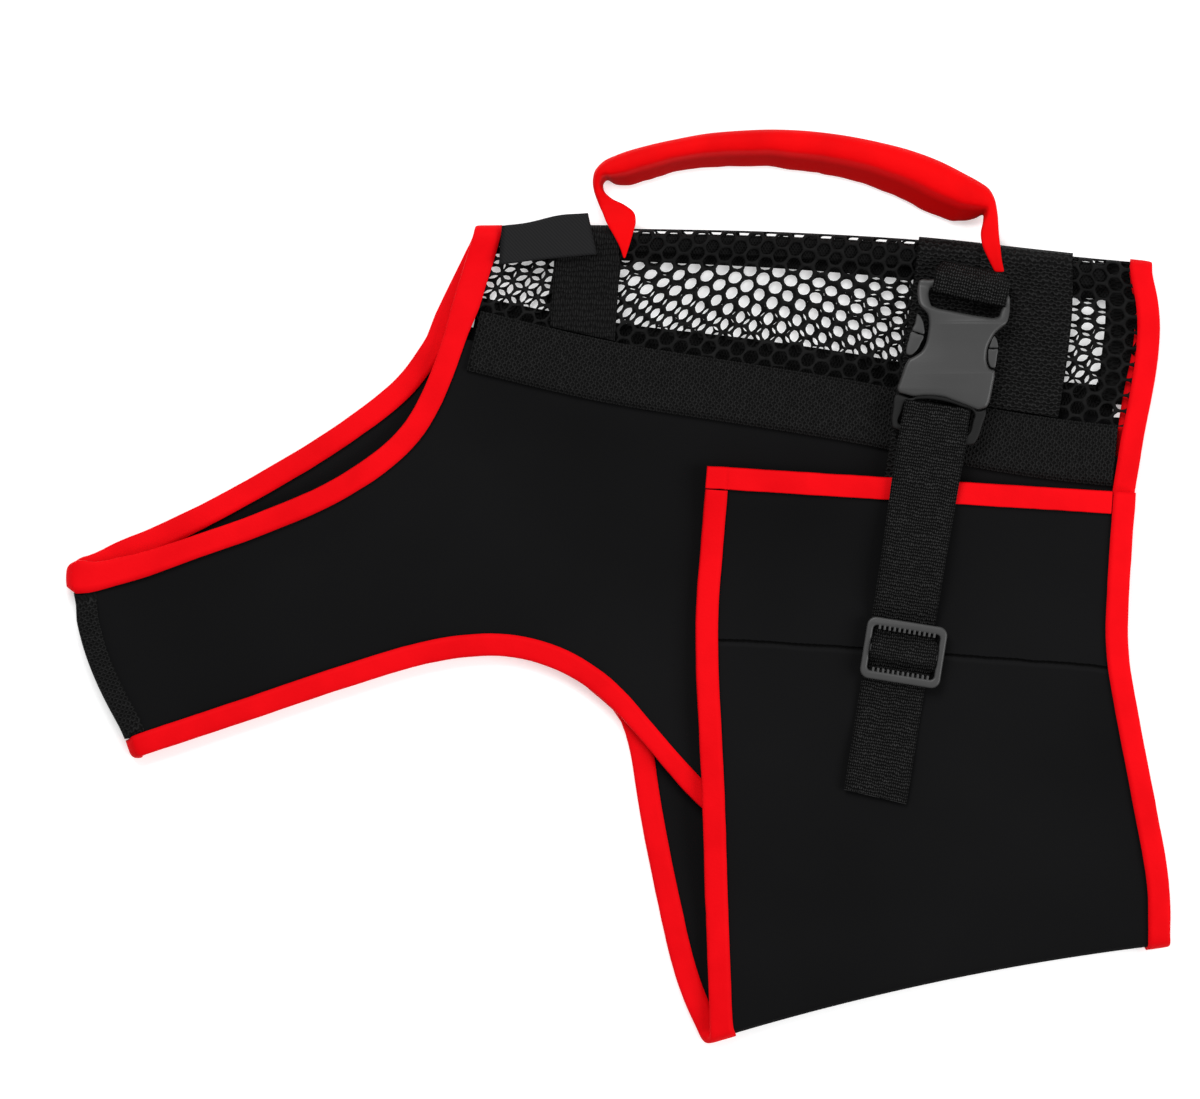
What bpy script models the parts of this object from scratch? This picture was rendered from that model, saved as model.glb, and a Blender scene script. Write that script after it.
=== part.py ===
"""Dog mobility vest, laid flat on its side with the head end at -X and the back at +Y.

The far side lies on the floor, the near side on it, and the belly panel, which is sewn to the far
side, folds up over both and is held by a strap with a side-release buckle. Tables and sizes are in
millimetres, seen from above, and become metres where a mesh is made.
"""

from collections import namedtuple
from math import cos, pi, radians, sin

import bmesh
import bpy
import numpy as np
from mathutils import Vector
from mathutils.geometry import delaunay_2d_cdt

MM = 0.001
ORIGIN = (-0.28, -0.39)       # middle of the finished vest, in the tables' own coordinates

PANEL = 2.0                 # neoprene thickness
NET = 1.0                   # net thickness
TAPE = 1.2                  # webbing thickness
GAP = 0.3                   # clearance where pieces meet
BIND_WALL = 1.0             # edge binding thickness
BIND_WIDTH = 9.0            # edge binding, as seen from above
BAND = 10.8                 # cloth that stays flat inside a binding, from the outline
BAND_FADE = 11.0            # distance over which the cloth settles beyond that band
SEAM_BAND = 14.0            # cloth that stays flat beside a webbing seam
WEBBING = 24.5              # webbing width
SPACING = 12.5              # distance between points along an edge
CORNER_SPACING = 15.5       # distance from a corner to the first point beside it
LATTICE = 19.0              # distance between the points inside a panel
SLOPE = 0.2                 # how steeply cloth falls away from what it lies on
REACH = 15.0                # how far a raised edge holds the cloth over it level

WEB = GAP + BIND_WALL       # outline to cloth edge
BIND_RISE = GAP + BIND_WALL
FAR_REST = PANEL / 2        # middle of the far cloth where it lies on the floor
FAR_SEAM_HEIGHT = 2.5       # middle of the far panel over its seam webbing
NEAR_SEAM_HEIGHT = 7.4      # middle of the near panel under its seam webbing
CHEST_HEIGHT = 7.6          # middle of the near panel at the chest seam
FOLD_RADIUS = 2.65          # bend of the belly panel where it turns up, middle of the cloth
SPINE_RADIUS = 3.75         # bend of the net over the spine, middle of the net
SPINE_HEIGHT = 9.5          # middle of the near net beside the spine
FAR_NET_HEIGHT = 2.0        # middle of the far net

Spot = namedtuple("Spot", "x y")
NetRow = namedtuple("NetRow", "share height")
GripSection = namedtuple("GripSection", "x y z width height")
Side = namedtuple("Side", "line kind")
Crossing = namedtuple("Crossing", "spine near width")
Stop = namedtuple("Stop", "away height")
Finish = namedtuple("Finish", "colour roughness metallic")

CHEST = [Spot(-217.3, 7.6), Spot(-217.8, -8), Spot(-210.2, -35.4), Spot(-192.5, -68.4)]
NEAR_NECK = [
    Spot(-217.3, 6.9), Spot(-187.4, 15), Spot(-147.4, 28.2), Spot(-107.4, 46.6),
    Spot(-85.4, 64.6), Spot(-75.4, 84.6), Spot(-69.5, 101),
]
FAR_NECK = [
    Spot(-217.3, 9.9), Spot(-187.4, 22.6), Spot(-147.4, 43.4), Spot(-107.4, 68.2),
    Spot(-87, 84.6), Spot(-72.8, 106.6),
]
NEAR_SEAM = [
    Spot(-69.5, 101), Spot(0, 84.9), Spot(50, 77), Spot(100, 68.7), Spot(138, 60.7),
    Spot(175, 54.7), Spot(208.5, 51.2),
]
FAR_SEAM = [
    Spot(-72.8, 106.6), Spot(1, 92.8), Spot(50, 87.1), Spot(90, 81.4), Spot(130, 74.6),
    Spot(176, 69.7), Spot(209, 67),
]
SPINE = [
    Spot(-56.2, 143.4), Spot(8.6, 143), Spot(72.6, 141.4), Spot(119.8, 138.6),
    Spot(179.4, 132.2), Spot(213.4, 129),
]
NEAR_ARM = [
    Spot(-192.5, -68.4), Spot(-147.4, -53.5), Spot(-107.4, -40), Spot(-67.4, -29),
    Spot(-47.4, -27.4), Spot(-27.4, -31.8), Spot(-5.8, -45.2), Spot(9.4, -61.8), Spot(32.4, -88),
    Spot(46.6, -98.6), Spot(62.6, -105.4), Spot(92.6, -107.8), Spot(185, -108.6),
]
FAR_ARM = [
    Spot(-192.5, -68.4), Spot(-147.4, -52.3), Spot(-107.4, -38.8), Spot(-67.4, -27.8),
    Spot(-47.4, -26.2), Spot(-27, -30), Spot(-3.8, -43.8),
]
NEAR_REAR = [
    Spot(208.5, 51.2), Spot(206.8, 40), Spot(201.4, 10.6), Spot(190.6, -53.4), Spot(185, -108.6),
]
FAR_REAR = [Spot(209, 67), Spot(198, -46)]
BELLY_SEAM = [Spot(-3.8, -43.8), Spot(198, -46)]
BELLY_LEFT = [
    Spot(-3.8, -43.8), Spot(1.6, -52.6), Spot(4, -62), Spot(7.6, -85.4), Spot(15.4, -125.4),
    Spot(25.8, -165.4), Spot(32, -178.5),
]
BELLY_RIGHT = [Spot(198, -46), Spot(208, -101), Spot(218.6, -139.5)]
FLAP_LEFT = [
    Spot(36.5, -178.5), Spot(35.8, -155.4), Spot(34.6, -125.4), Spot(33.4, -85.4), Spot(31, -35.4),
    Spot(30.6, -21.4), Spot(31, -5.4), Spot(32.6, 14.6), Spot(35.4, 48.2),
]
FLAP_RIGHT = [
    Spot(220.4, -139.5), Spot(220.6, -125.4), Spot(214.2, -85.4), Spot(206.6, -45.4),
    Spot(203.4, -25.4), Spot(203.8, -5.4), Spot(206.6, 37.2),
]
FOLD_BOW = 4.5              # how far the belly fold is hollowed between its corners
NET_REAR_BOW = 5.4          # how far the rear edge of the net swells out
NET_BOW_LEAN = 1.5          # above 1, the swelling is nearer to the spine
FAR_NET_BOW = 0.85          # the far leg's swelling, as a share of the near one's

# The near net from its seam to the spine: it sags between them.
NET_ROWS = [NetRow(0.3, 6.9), NetRow(0.6, 6.8), NetRow(0.82, 8.3), NetRow(1, 9.5)]
FAR_NET_SHARES = [0.62, 0.3]
NET_FIRST_ROW = WEBBING / 2 + GAP + 0.1
NET_COLUMNS = 19
ROLL_STEPS = 6

BACK_LEG_ROWS = 11
FOLD_STEPS = 6
SEAM_WEBBING_POINTS = 24
NEAR_WEBBING_STOPS = (BIND_WIDTH + 3.5, BIND_WIDTH + 1.2)   # from the neck, from the rear edge
FAR_WEBBING_STOPS = (BIND_WIDTH + 6, BIND_WIDTH + 2.5)
CHEST_TAPE_REACH = (5.2, 7.4)    # past its last stations, at its edge and at the band inside
HEM_TAPE_WIDTH = 10.0
HEM_TAPE = 1.0

GRIP = [
    GripSection(2.8, 128.5, 10.9, 2.0, 1.2), GripSection(3.3, 139.5, 11.6, 3.2, 1.6),
    GripSection(3.6, 145.6, 10.6, 4.2, 1.8), GripSection(2.0, 149.6, 9.4, 9.0, 2.8),
    GripSection(-3.2, 155.2, 8.4, 7.4, 5.0),
    GripSection(-6.2, 161.0, 7.6, 6.4, 9.0), GripSection(-1.8, 167.0, 7.3, 9.6, 12.4),
    GripSection(11.4, 169.6, 7.2, 13.4, 14.0), GripSection(28, 173.2, 7.2, 13.8, 14.2),
    GripSection(47, 175.1, 7.2, 14.2, 14.2), GripSection(66, 175.1, 7.2, 14.4, 14.2),
    GripSection(85, 172.5, 7.2, 15.0, 14.2), GripSection(104.6, 168.3, 7.2, 15.6, 14.2),
    GripSection(124, 161.6, 7.2, 16.2, 14.2), GripSection(137.4, 156.0, 7.3, 15.4, 13.6),
    GripSection(146.4, 150.8, 8.4, 11.0, 9.6), GripSection(149.8, 143.6, 11.2, 6.0, 3.4),
    GripSection(150.2, 134.6, 12.6, 5.2, 1.6), GripSection(150.4, 127.6, 12.4, 4.2, 1.2),
]
GRIP_SIDES = 12

# Where webbing crosses the spine and meets the near seam, as shares of their lengths.
CROSS_WEBBINGS = {
    "front_cross_webbing": Crossing(spine=0.164, near=0.196, width=26),
    "rear_cross_webbing": Crossing(spine=0.8135, near=0.8075, width=36.6),
}
ANCHOR_CROSSING = Crossing(spine=0.698, near=0.69, width=WEBBING)
ANCHOR_LEAN = radians(-9.2)
ANCHOR_BEYOND_SEAM = (35, 27.5, 20.5, 14.5, -14.5)  # its rows, measured from the seam's middle

ANCHOR_UNDER_FLAP = 9       # its points that lie under the flap, and under the buckle's plug
ANCHOR_BELOW_BUCKLE = 12

BUCKLE_CENTRE = Spot(133.9, 97.7)
BUCKLE_TILT = radians(-12.2)
BUCKLE_FLOOR = 12.6         # underside of the buckle
BUCKLE_THICK = 8.0
SOCKET_HALF = [             # half outline of the socket, lower end to upper end, in its own frame
    Spot(0, -22.2), Spot(4, -22.5), Spot(8, -23.4), Spot(12.6, -24.6), Spot(17.4, -23.6),
    Spot(18.4, -22.4), Spot(18.4, -19), Spot(17.6, -12),
    Spot(16, -6), Spot(12.2, -1), Spot(12.2, 9), Spot(15.6, 13.6), Spot(18.6, 17), Spot(18.6, 24.2),
    Spot(17, 25), Spot(0, 25),
]
SLOT = (28.6, 9.6, 14.6, 0.5)    # socket's webbing slot: width, height, centre, corner
PLUG_HALF = [               # half outline of the plug, lower end to upper end
    Spot(0, -40), Spot(16, -40), Spot(17.6, -38.4), Spot(18, -24.3), Spot(14.6, -25.1),
    Spot(14.6, -14), Spot(16.4, -8), Spot(15, 3), Spot(12.6, 7.6),
    Spot(10.6, 7.6), Spot(10.2, -20), Spot(2.6, -20), Spot(2, 4), Spot(0, 4),
]
PLUG_SLOT = (28.2, 6.2, -25.8)
PLUG_THICK = 5.0
BAR_THICK = 5.0             # socket's bar, lower than its ears
BAR_RECESS = (28.6, 12.6, 21.7)
LOOP_ASIDE = 1.4            # how far the loop sits from the buckle's middle
LOOP_UNDER = [              # loop's middle under the bar, along the buckle's own frame
    Stop(30.4, 11.9), Stop(26.5, 11.5), Stop(22, 11.3), Stop(19.4, 11.4), Stop(18.2, 12.6),
    Stop(17.9, 15),
]
LOOP_OVER = [               # and over it, above where it lies on the bar
    Stop(17.9, -1.2), Stop(18.7, 0), Stop(22, 0.1), Stop(25.4, 0), Stop(28, -2.2),
    Stop(30.4, -4.6),
]
STRAP_WIDTH = 25.4
STRAP_TOP = Spot(128.7, 72.4)
STRAP_END = Spot(103.6, -84.4)
STRAP_SEWN = 82.0           # where the lower run ends, from the plug's slot
SLIDER_AT = 99.8            # slider's middle, from the plug's slot
SLIDER_SIZE = (31.6, 24.6)
SLIDER_BAR = 3.8
SLIDER_THICK = 3.2
STRAP_FALL = 0.3            # how steeply the upper run comes down from the plug

LABEL_SHARES = (0.036, 0.178)
LABEL_LOW = (Spot(-47.8, 129), Spot(-8.6, 132.6))     # its lower edge, front and rear end
LABEL_HIGH = (Spot(-46.6, 144.2), Spot(-12.2, 149))   # and its upper edge

FINISHES = {
    "neoprene": Finish((0.007, 0.007, 0.008), 0.85, 0.0),
    "red_binding": Finish((0.75, 0.004, 0.008), 0.6, 0.0),
    "net": Finish((0.008, 0.008, 0.008), 0.6, 0.0),
    "webbing": Finish((0.015, 0.015, 0.016), 0.7, 0.0),
    "buckle_plastic": Finish((0.03, 0.03, 0.03), 0.4, 0.0),
    "label_cloth": Finish((0.02, 0.02, 0.021), 0.75, 0.0),
}


def unit(vectors):
    """Vectors along the last axis, at length 1."""
    vectors = np.asarray(vectors, float)
    return vectors / np.linalg.norm(vectors, axis=-1, keepdims=True)


class Line:
    """A smooth curve through spots, seen from above, measured along its length."""

    def __init__(self, spots, steps=24):
        spots = np.array([(s.x, s.y) for s in spots], float)
        chord = np.concatenate([[0], np.cumsum(np.linalg.norm(np.diff(spots, axis=0), axis=1))])
        slope = np.gradient(spots, chord, axis=0)
        dense = [spots[:1]]
        for i in range(len(spots) - 1):
            span = chord[i + 1] - chord[i]
            t = np.linspace(0, 1, steps + 1)[1:, None]
            rise = 3 * t ** 2 - 2 * t ** 3
            leave = (t ** 3 - 2 * t ** 2 + t) * span * slope[i]
            arrive = (t ** 3 - t ** 2) * span * slope[i + 1]
            dense.append(spots[i] * (1 - rise) + spots[i + 1] * rise + leave + arrive)
        self.points = np.concatenate(dense)
        steps_long = np.linalg.norm(np.diff(self.points, axis=0), axis=1)
        self.reach = np.concatenate([[0], np.cumsum(steps_long)])
        self.length = self.reach[-1]

    def at(self, distance):
        """Points at distances along the curve."""
        distance = np.asarray(distance, float)
        axes = [np.interp(distance, self.reach, self.points[:, i]) for i in (0, 1)]
        return np.stack(axes, axis=-1)

    def left(self, distance):
        """Directions to the left of travel."""
        distance = np.asarray(distance, float)
        before = self.at(np.maximum(distance - 1, 0))
        after = self.at(np.minimum(distance + 1, self.length))
        along = unit(after - before)
        return np.stack([-along[..., 1], along[..., 0]], axis=-1)

    def distance_to(self, points):
        """Distance from each point to the curve."""
        ends = self.points[1:]
        starts = self.points[:-1]
        spans = ends - starts
        away = points[:, None, :] - starts
        share = np.clip((away * spans).sum(-1) / (spans ** 2).sum(-1), 0, 1)
        return np.linalg.norm(away - share[..., None] * spans, axis=-1).min(axis=1)


def backwards(line):
    """The same curve travelled the other way."""
    other = Line.__new__(Line)
    other.points = line.points[::-1]
    other.reach = line.length - line.reach[::-1]
    other.length = line.length
    return other


def faded(distance, full, fade):
    """1 up to a full distance, then softly down to 0."""
    share = np.clip((np.asarray(distance) - full) / fade, 0, 1)
    return 1 - share ** 2 * (3 - 2 * share)


def resting(points, supports):
    """Height that cloth over each point is held at by what lies below, as (x, y, top) rows."""
    away = np.linalg.norm(points[:, None, :2] - supports[None, :, :2], axis=-1)
    return (supports[:, 2] - SLOPE * np.maximum(0, away - REACH)).max(axis=1)


def collection(name):
    made = bpy.data.collections.new(name)
    bpy.context.scene.collection.children.link(made)
    return made


def clear_scene():
    for thing in list(bpy.data.objects):
        bpy.data.objects.remove(thing)


def finish_material(name):
    finish = FINISHES[name]
    material = bpy.data.materials.get(name) or bpy.data.materials.new(name)
    material.use_nodes = True
    shader = material.node_tree.nodes["Principled BSDF"]
    shader.inputs["Base Color"].default_value = (*finish.colour, 1)
    shader.inputs["Roughness"].default_value = finish.roughness
    shader.inputs["Metallic"].default_value = finish.metallic
    return material


def make_object(name, points, faces, finish, into):
    """An object from points in the tables' millimetres."""
    shift = np.array([ORIGIN[0], ORIGIN[1], 0])
    points = (np.asarray(points, float) - shift) * MM
    mesh = bpy.data.meshes.new(name)
    mesh.from_pydata([tuple(p) for p in points], [], faces)
    shaped = bmesh.new()
    shaped.from_mesh(mesh)
    bmesh.ops.recalc_face_normals(shaped, faces=shaped.faces)
    shaped.to_mesh(mesh)
    shaped.free()
    mesh.shade_smooth()
    mesh.set_sharp_from_angle(angle=radians(35))
    mesh.materials.append(finish_material(finish))
    thing = bpy.data.objects.new(name, mesh)
    into.objects.link(thing)
    return thing


def thicken(thing, thickness):
    """Gives an open surface its thickness, half to each side."""
    wall = thing.modifiers.new("wall", "SOLIDIFY")
    wall.thickness = thickness * MM
    wall.offset = 0
    wall.use_even_offset = True
    return thing


def grid_faces(rows, columns):
    faces = []
    for r in range(rows - 1):
        for c in range(columns - 1):
            a = r * columns + c
            faces.append((a, a + 1, a + columns + 1, a + columns))
    return faces


def cloth_grid(name, grid, thickness, finish, into):
    """A wall through a grid of points, given as rows."""
    grid = np.asarray(grid, float)
    rows, columns = grid.shape[:2]
    thing = make_object(name, grid.reshape(-1, 3), grid_faces(rows, columns), finish, into)
    return thicken(thing, thickness)


class Panel:
    """A flat-cut panel: its outline's sides, counter-clockwise, and points in rings inside them."""

    def __init__(self, sides):
        self.sides = sides
        self.edge, self.inner, self.starts = self.rings()
        inside = self.lattice()
        self.plan = np.concatenate([self.edge, self.inner, inside])

    def rings(self):
        """The cloth's edge and the inner edge of its flat band, at the same stations."""
        insets = {"bound": (WEB, BAND), "seam": (GAP / 2, SEAM_BAND), "joint": (GAP / 2, BAND)}
        edge, inner, starts = [], [], []
        for number, side in enumerate(self.sides):
            starts.append(len(edge))
            before = self.sides[number - 1]
            corner = side.line.at(0)
            normals = np.array([before.line.left(before.line.length), side.line.left(0)])
            for ring, which in ((edge, 0), (inner, 1)):
                depths = [insets[before.kind][which], insets[side.kind][which]]
                ring.append(corner + np.linalg.solve(normals, depths))
            free = side.line.length - 2 * CORNER_SPACING
            steps = max(1, round(free / SPACING))
            for distance in np.linspace(CORNER_SPACING, side.line.length - CORNER_SPACING, steps + 1):
                point = side.line.at(distance)
                normal = side.line.left(distance)
                edge.append(point + normal * insets[side.kind][0])
                inner.append(point + normal * insets[side.kind][1])
        return np.array(edge), np.array(inner), starts

    def nearest(self, points, kinds=("bound", "seam", "joint")):
        """Distance from each point to the nearest side of these kinds."""
        found = [side.line.distance_to(points) for side in self.sides if side.kind in kinds]
        return np.min(found, axis=0)

    def lattice(self):
        """Points in staggered rows inside the band."""
        low = self.edge.min(axis=0)
        high = self.edge.max(axis=0)
        points = []
        row_step = LATTICE * sin(pi / 3)
        for row in range(int((high[1] - low[1]) / row_step) + 1):
            shift = (row % 2) * LATTICE / 2
            for column in range(int((high[0] - low[0]) / LATTICE) + 1):
                points.append((low[0] + shift + column * LATTICE, low[1] + row * row_step))
        points = np.array(points)
        second = self.inner_ring(BAND + BAND_FADE)
        points = np.concatenate([points, second])
        within = self.inside(points) & (self.nearest(points) > BAND + BAND_FADE - 0.5)
        points = points[within]
        kept = []
        for point in points[::-1]:
            if all(np.hypot(*(point - other)) > LATTICE * 0.55 for other in kept):
                kept.append(point)
        return np.array(kept)

    def inner_ring(self, depth):
        """Points at a depth inside the sides, more widely spaced than the band's."""
        found = []
        for side in self.sides:
            steps = max(1, round(side.line.length / (SPACING * 1.4)))
            for distance in np.linspace(0, side.line.length, steps + 1)[1:-1]:
                found.append(side.line.at(distance) + side.line.left(distance) * depth)
        return np.array(found)

    def inside(self, points):
        """Whether each point lies inside the cloth's edge."""
        starts = self.edge
        ends = np.roll(self.edge, -1, axis=0)
        result = np.zeros(len(points), bool)
        for a, b in zip(starts, ends):
            crosses = (a[1] > points[:, 1]) != (b[1] > points[:, 1])
            rise = b[1] - a[1] if b[1] != a[1] else 1e-9
            at = a[0] + (points[:, 1] - a[1]) * (b[0] - a[0]) / rise
            result ^= crosses & (points[:, 0] < at)
        return result

    def set_heights(self, heights):
        """Takes a height for each point, and levels each binding's band and each corner."""
        count = len(self.edge)
        band = np.maximum(heights[:count], heights[count:2 * count])
        level = band.copy()
        for corner in self.starts:
            around = [(corner + i) % count for i in (-1, 0, 1)]
            level[around] = np.maximum(level[around], band[around].max())
        heights = np.concatenate([level, level, heights[2 * count:]])
        self.points = np.column_stack([self.plan, heights])
        self.edge3 = self.points[:count]
        self.inner3 = self.points[count:2 * count]

    def tops(self):
        """(x, y, top) of the panel and the binding on its edges."""
        rise = np.where(self.nearest(self.plan, ("bound",)) <= BAND + 0.1, BIND_RISE, 0)
        return np.column_stack([self.plan, self.points[:, 2] + PANEL / 2 + rise])

    def stations(self, number, corners=(True, True)):
        """Edge and band points along one side, with or without its two corners."""
        count = len(self.edge)
        first = self.starts[number]
        last = self.starts[(number + 1) % len(self.sides)]
        if last <= first:
            last += count
        picks = np.arange(first, last + 1) % count
        edge = self.edge3[picks]
        inward = self.inner3[picks] - edge
        sides = len(self.sides)
        inward[0] = inward[1]
        inward[-1] = inward[-2]
        if self.sides[number - 1].kind != "bound":
            inward[0] = self.edge3[picks[0] - 1] - edge[0]
        if self.sides[(number + 1) % sides].kind != "bound":
            inward[-1] = self.edge3[(picks[-1] + 1) % count] - edge[-1]
        kept = slice(0 if corners[0] else 1, None if corners[1] else -1)
        return edge[kept], (edge + inward)[kept]

    def build(self, name, finish, into):
        count = len(self.edge)
        loop = [(i, (i + 1) % count) for i in range(count)]
        loops = loop + [(a + count, b + count) for a, b in loop]
        flat = [Vector(p) for p in self.plan]
        found = delaunay_2d_cdt(flat, loops, [], 1, 1e-6)
        verts, faces, origins = found[0], found[2], found[3]
        points = [self.points[origin[0]] for origin in origins]
        if len(points) != len(verts):
            raise ValueError(name + " has bands that cross")
        return thicken(make_object(name, points, faces, finish, into), PANEL)


def far_heights(panel, seam=None):
    """Height of the middle of a panel that lies on the floor."""
    bound = panel.nearest(panel.plan, ("bound",))
    heights = FAR_REST + BIND_RISE * faded(bound, BAND + 0.1, BAND_FADE)
    seam_rise = (FAR_SEAM_HEIGHT - FAR_REST) * faded(
        seam.distance_to(panel.plan), SEAM_BAND + 0.1, BAND_FADE)
    return np.maximum(heights, FAR_REST + seam_rise)


def near_heights(panel, below, seam, chest):
    """Height of the middle of the near panel, over the far one."""
    rise = BIND_RISE * faded(panel.nearest(panel.plan, ("bound",)), BAND + 0.1, BAND_FADE)
    heights = resting(panel.plan, below) + GAP + PANEL / 2 + rise
    seam_away = np.maximum(0, seam.distance_to(panel.plan) - SEAM_BAND - 0.1)
    heights = np.maximum(heights, NEAR_SEAM_HEIGHT - SLOPE * seam_away)
    chest_away = np.maximum(0, chest.distance_to(panel.plan) - BAND - 0.1)
    return np.maximum(heights, CHEST_HEIGHT - SLOPE * chest_away)


def swelling(part):
    """0 at both ends of a leg of the net and 1 where it swells out most."""
    part = part ** NET_BOW_LEAN
    return 4 * part * (1 - part)


class BackNet:
    """The net from the near seam over the spine to the far seam, as rows of points."""

    def __init__(self, near_seam, far_seam, spine):
        self.near_seam = near_seam
        self.far_seam = far_seam
        self.spine = spine
        length = spine.length
        inner = np.linspace(BAND - WEB, length - 2 * WEB - BAND + WEB, NET_COLUMNS)
        places = np.concatenate([[0], inner, [length - 2 * WEB]]) + WEB
        self.shares = places / length
        self.grid = np.array([self.section(share) for share in self.shares]).swapaxes(0, 1)

    def section(self, share):
        """Points round the net at a share of its length, from the near seam to the far one."""
        top = self.spine.at(share * self.spine.length)
        near = self.near_seam.at(share * self.near_seam.length)
        far = self.far_seam.at(share * self.far_seam.length)
        down = unit(near - top)
        crest = top + down * (SPINE_RADIUS + NET / 2)
        bow = NET_REAR_BOW * share ** 6
        near_leg = np.linalg.norm(crest - near)
        points = []

        def near_point(away, height):
            part = away / near_leg
            swell = swelling(part) * bow
            spot = near + (crest - near) * part
            points.append((spot[0] + swell, spot[1], height))

        near_point(GAP / 2, NEAR_SEAM_HEIGHT + (PANEL - NET) / 2)
        near_point(NET_FIRST_ROW, NEAR_SEAM_HEIGHT + (PANEL - NET) / 2)
        for row in NET_ROWS:
            near_point(NET_FIRST_ROW + (near_leg - NET_FIRST_ROW) * row.share, row.height)
        middle = (SPINE_HEIGHT + FAR_NET_HEIGHT) / 2
        for step in range(1, ROLL_STEPS):
            angle = pi / 2 - pi * step / ROLL_STEPS
            spot = crest - down * SPINE_RADIUS * cos(angle)
            points.append((spot[0], spot[1], middle + SPINE_RADIUS * sin(angle)))
        far_leg = np.linalg.norm(far - crest)
        last = far_leg - NET_FIRST_ROW
        for away in [0] + [last * (1 - part) for part in FAR_NET_SHARES] + [last, far_leg - GAP / 2]:
            part = away / far_leg
            spot = crest + (far - crest) * part
            swell = swelling(1 - part) * bow * FAR_NET_BOW
            points.append((spot[0] + swell, spot[1], FAR_NET_HEIGHT))
        return points

    def lifted(self, share, out):
        """A section's points, moved out from the net."""
        here = np.array(self.section(share))
        ahead = np.array(self.section(min(share + 0.004, 1)))
        behind = np.array(self.section(max(share - 0.004, 0)))
        along = ahead - behind
        round_it = np.gradient(here, axis=0)
        away = unit(np.cross(along, round_it))
        return here + away * out

    def over(self, crossing, rows, out, columns=3):
        """A strip of webbing across the net: rows of points, moved out from it."""
        half = crossing.width / 2 / self.spine.length
        near_rows = 2 + len(NET_ROWS)
        grid = []
        for row in rows:
            part = min(1, row / (near_rows - 1))
            middle = crossing.near + (crossing.spine - crossing.near) * part
            line = []
            for side in np.linspace(-1, 1, columns):
                line.append(self.lifted(middle + side * half, out)[row])
            grid.append(line)
        return np.array(grid)


def binding(name, edge, inner, halves, finish, into, closed=False, extend=(0, 0)):
    """A folded tape round an edge: a channel swept along it, open towards the cloth."""
    depth = BIND_WIDTH - WEB
    edge = np.array(edge, float)
    inner = np.array(inner, float)
    halves = np.array(halves, float)
    if closed:
        along = unit(unit(np.roll(edge, -1, axis=0) - edge) + unit(edge - np.roll(edge, 1, axis=0)))
    else:
        steps = unit(np.diff(edge, axis=0))
        middle = unit(steps[1:] + steps[:-1])
        along = np.concatenate([steps[:1], middle, steps[-1:]])
        for end, sign in ((0, -1), (-1, 1)):
            shift = sign * extend[end] * along[end]
            edge[end] += shift
            inner[end] += shift
    inward = inner - edge
    square = inward - (inward * along).sum(-1, keepdims=True) * along
    inward = inward / np.linalg.norm(square, axis=-1, keepdims=True)
    out = unit(np.cross(along, inward))
    points = []
    soft = BIND_WALL * 0.7
    for place, into_cloth, up, half in zip(edge, inward, out, halves):
        inside = half + GAP
        outside = inside + BIND_WALL
        shape = [
            (depth, outside), (soft - WEB, outside), (-WEB, outside - soft),
            (-WEB, soft - outside), (soft - WEB, -outside), (depth, -outside),
            (depth, -inside), (-GAP, -inside), (-GAP, inside), (depth, inside),
        ]
        points += [place + into_cloth * a + up * b for a, b in shape]
    count = len(shape)
    rings = len(edge)
    faces = []
    for r in range(rings if closed else rings - 1):
        for c in range(count):
            a = r * count + c
            b = r * count + (c + 1) % count
            faces.append((a, b, (b + count) % (rings * count), (a + count) % (rings * count)))
    if not closed:
        for start in (0, (rings - 1) * count):
            faces += [
                tuple(start + i for i in (0, 1, 8, 9)), tuple(start + i for i in (1, 2, 8)),
                tuple(start + i for i in (2, 3, 7, 8)), tuple(start + i for i in (3, 4, 7)),
                tuple(start + i for i in (4, 5, 6, 7)),
            ]
    return make_object(name, points, faces, finish, into)


def turn_under(upper, lower, inward, steps=6):
    """Points of a half turn from an upper edge point to a lower one, and its band points."""
    edge, inner = [], []
    radius = (upper[2] - lower[2]) / 2
    outward = unit(np.array([-abs(inward[1]), inward[0] * np.sign(inward[1]), 0]))
    for step in range(1, steps):
        angle = pi * step / steps
        part = (1 - cos(angle)) / 2
        place = upper + (lower - upper) * part
        edge.append(place + outward * radius * sin(angle))
        inner.append(edge[-1] + inward)
    return edge, inner


def net_edge(net, column, next_column, rows):
    edge = net.grid[rows, column]
    inner = net.grid[rows, next_column]
    return list(edge), list(inner)


def ribbon(name, path, across, width, into):
    """Flat webbing along a path of middle points."""
    path = np.array(path, float)
    side = np.array([across[0], across[1], 0]) * width / 2
    cloth_grid(name, np.stack([path - side, path + side], axis=1), TAPE, "webbing", into)


def seam_webbing(name, line, height, ends, into):
    """Webbing centred on a seam."""
    count = SEAM_WEBBING_POINTS
    places = np.linspace(ends[0], line.length - ends[1], count)
    middle = line.at(places)
    side = line.left(places) * WEBBING / 2
    rows = [np.column_stack([middle + side * s, np.full(count, height)]) for s in (-1, 1)]
    cloth_grid(name, rows, TAPE, "webbing", into)


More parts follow.
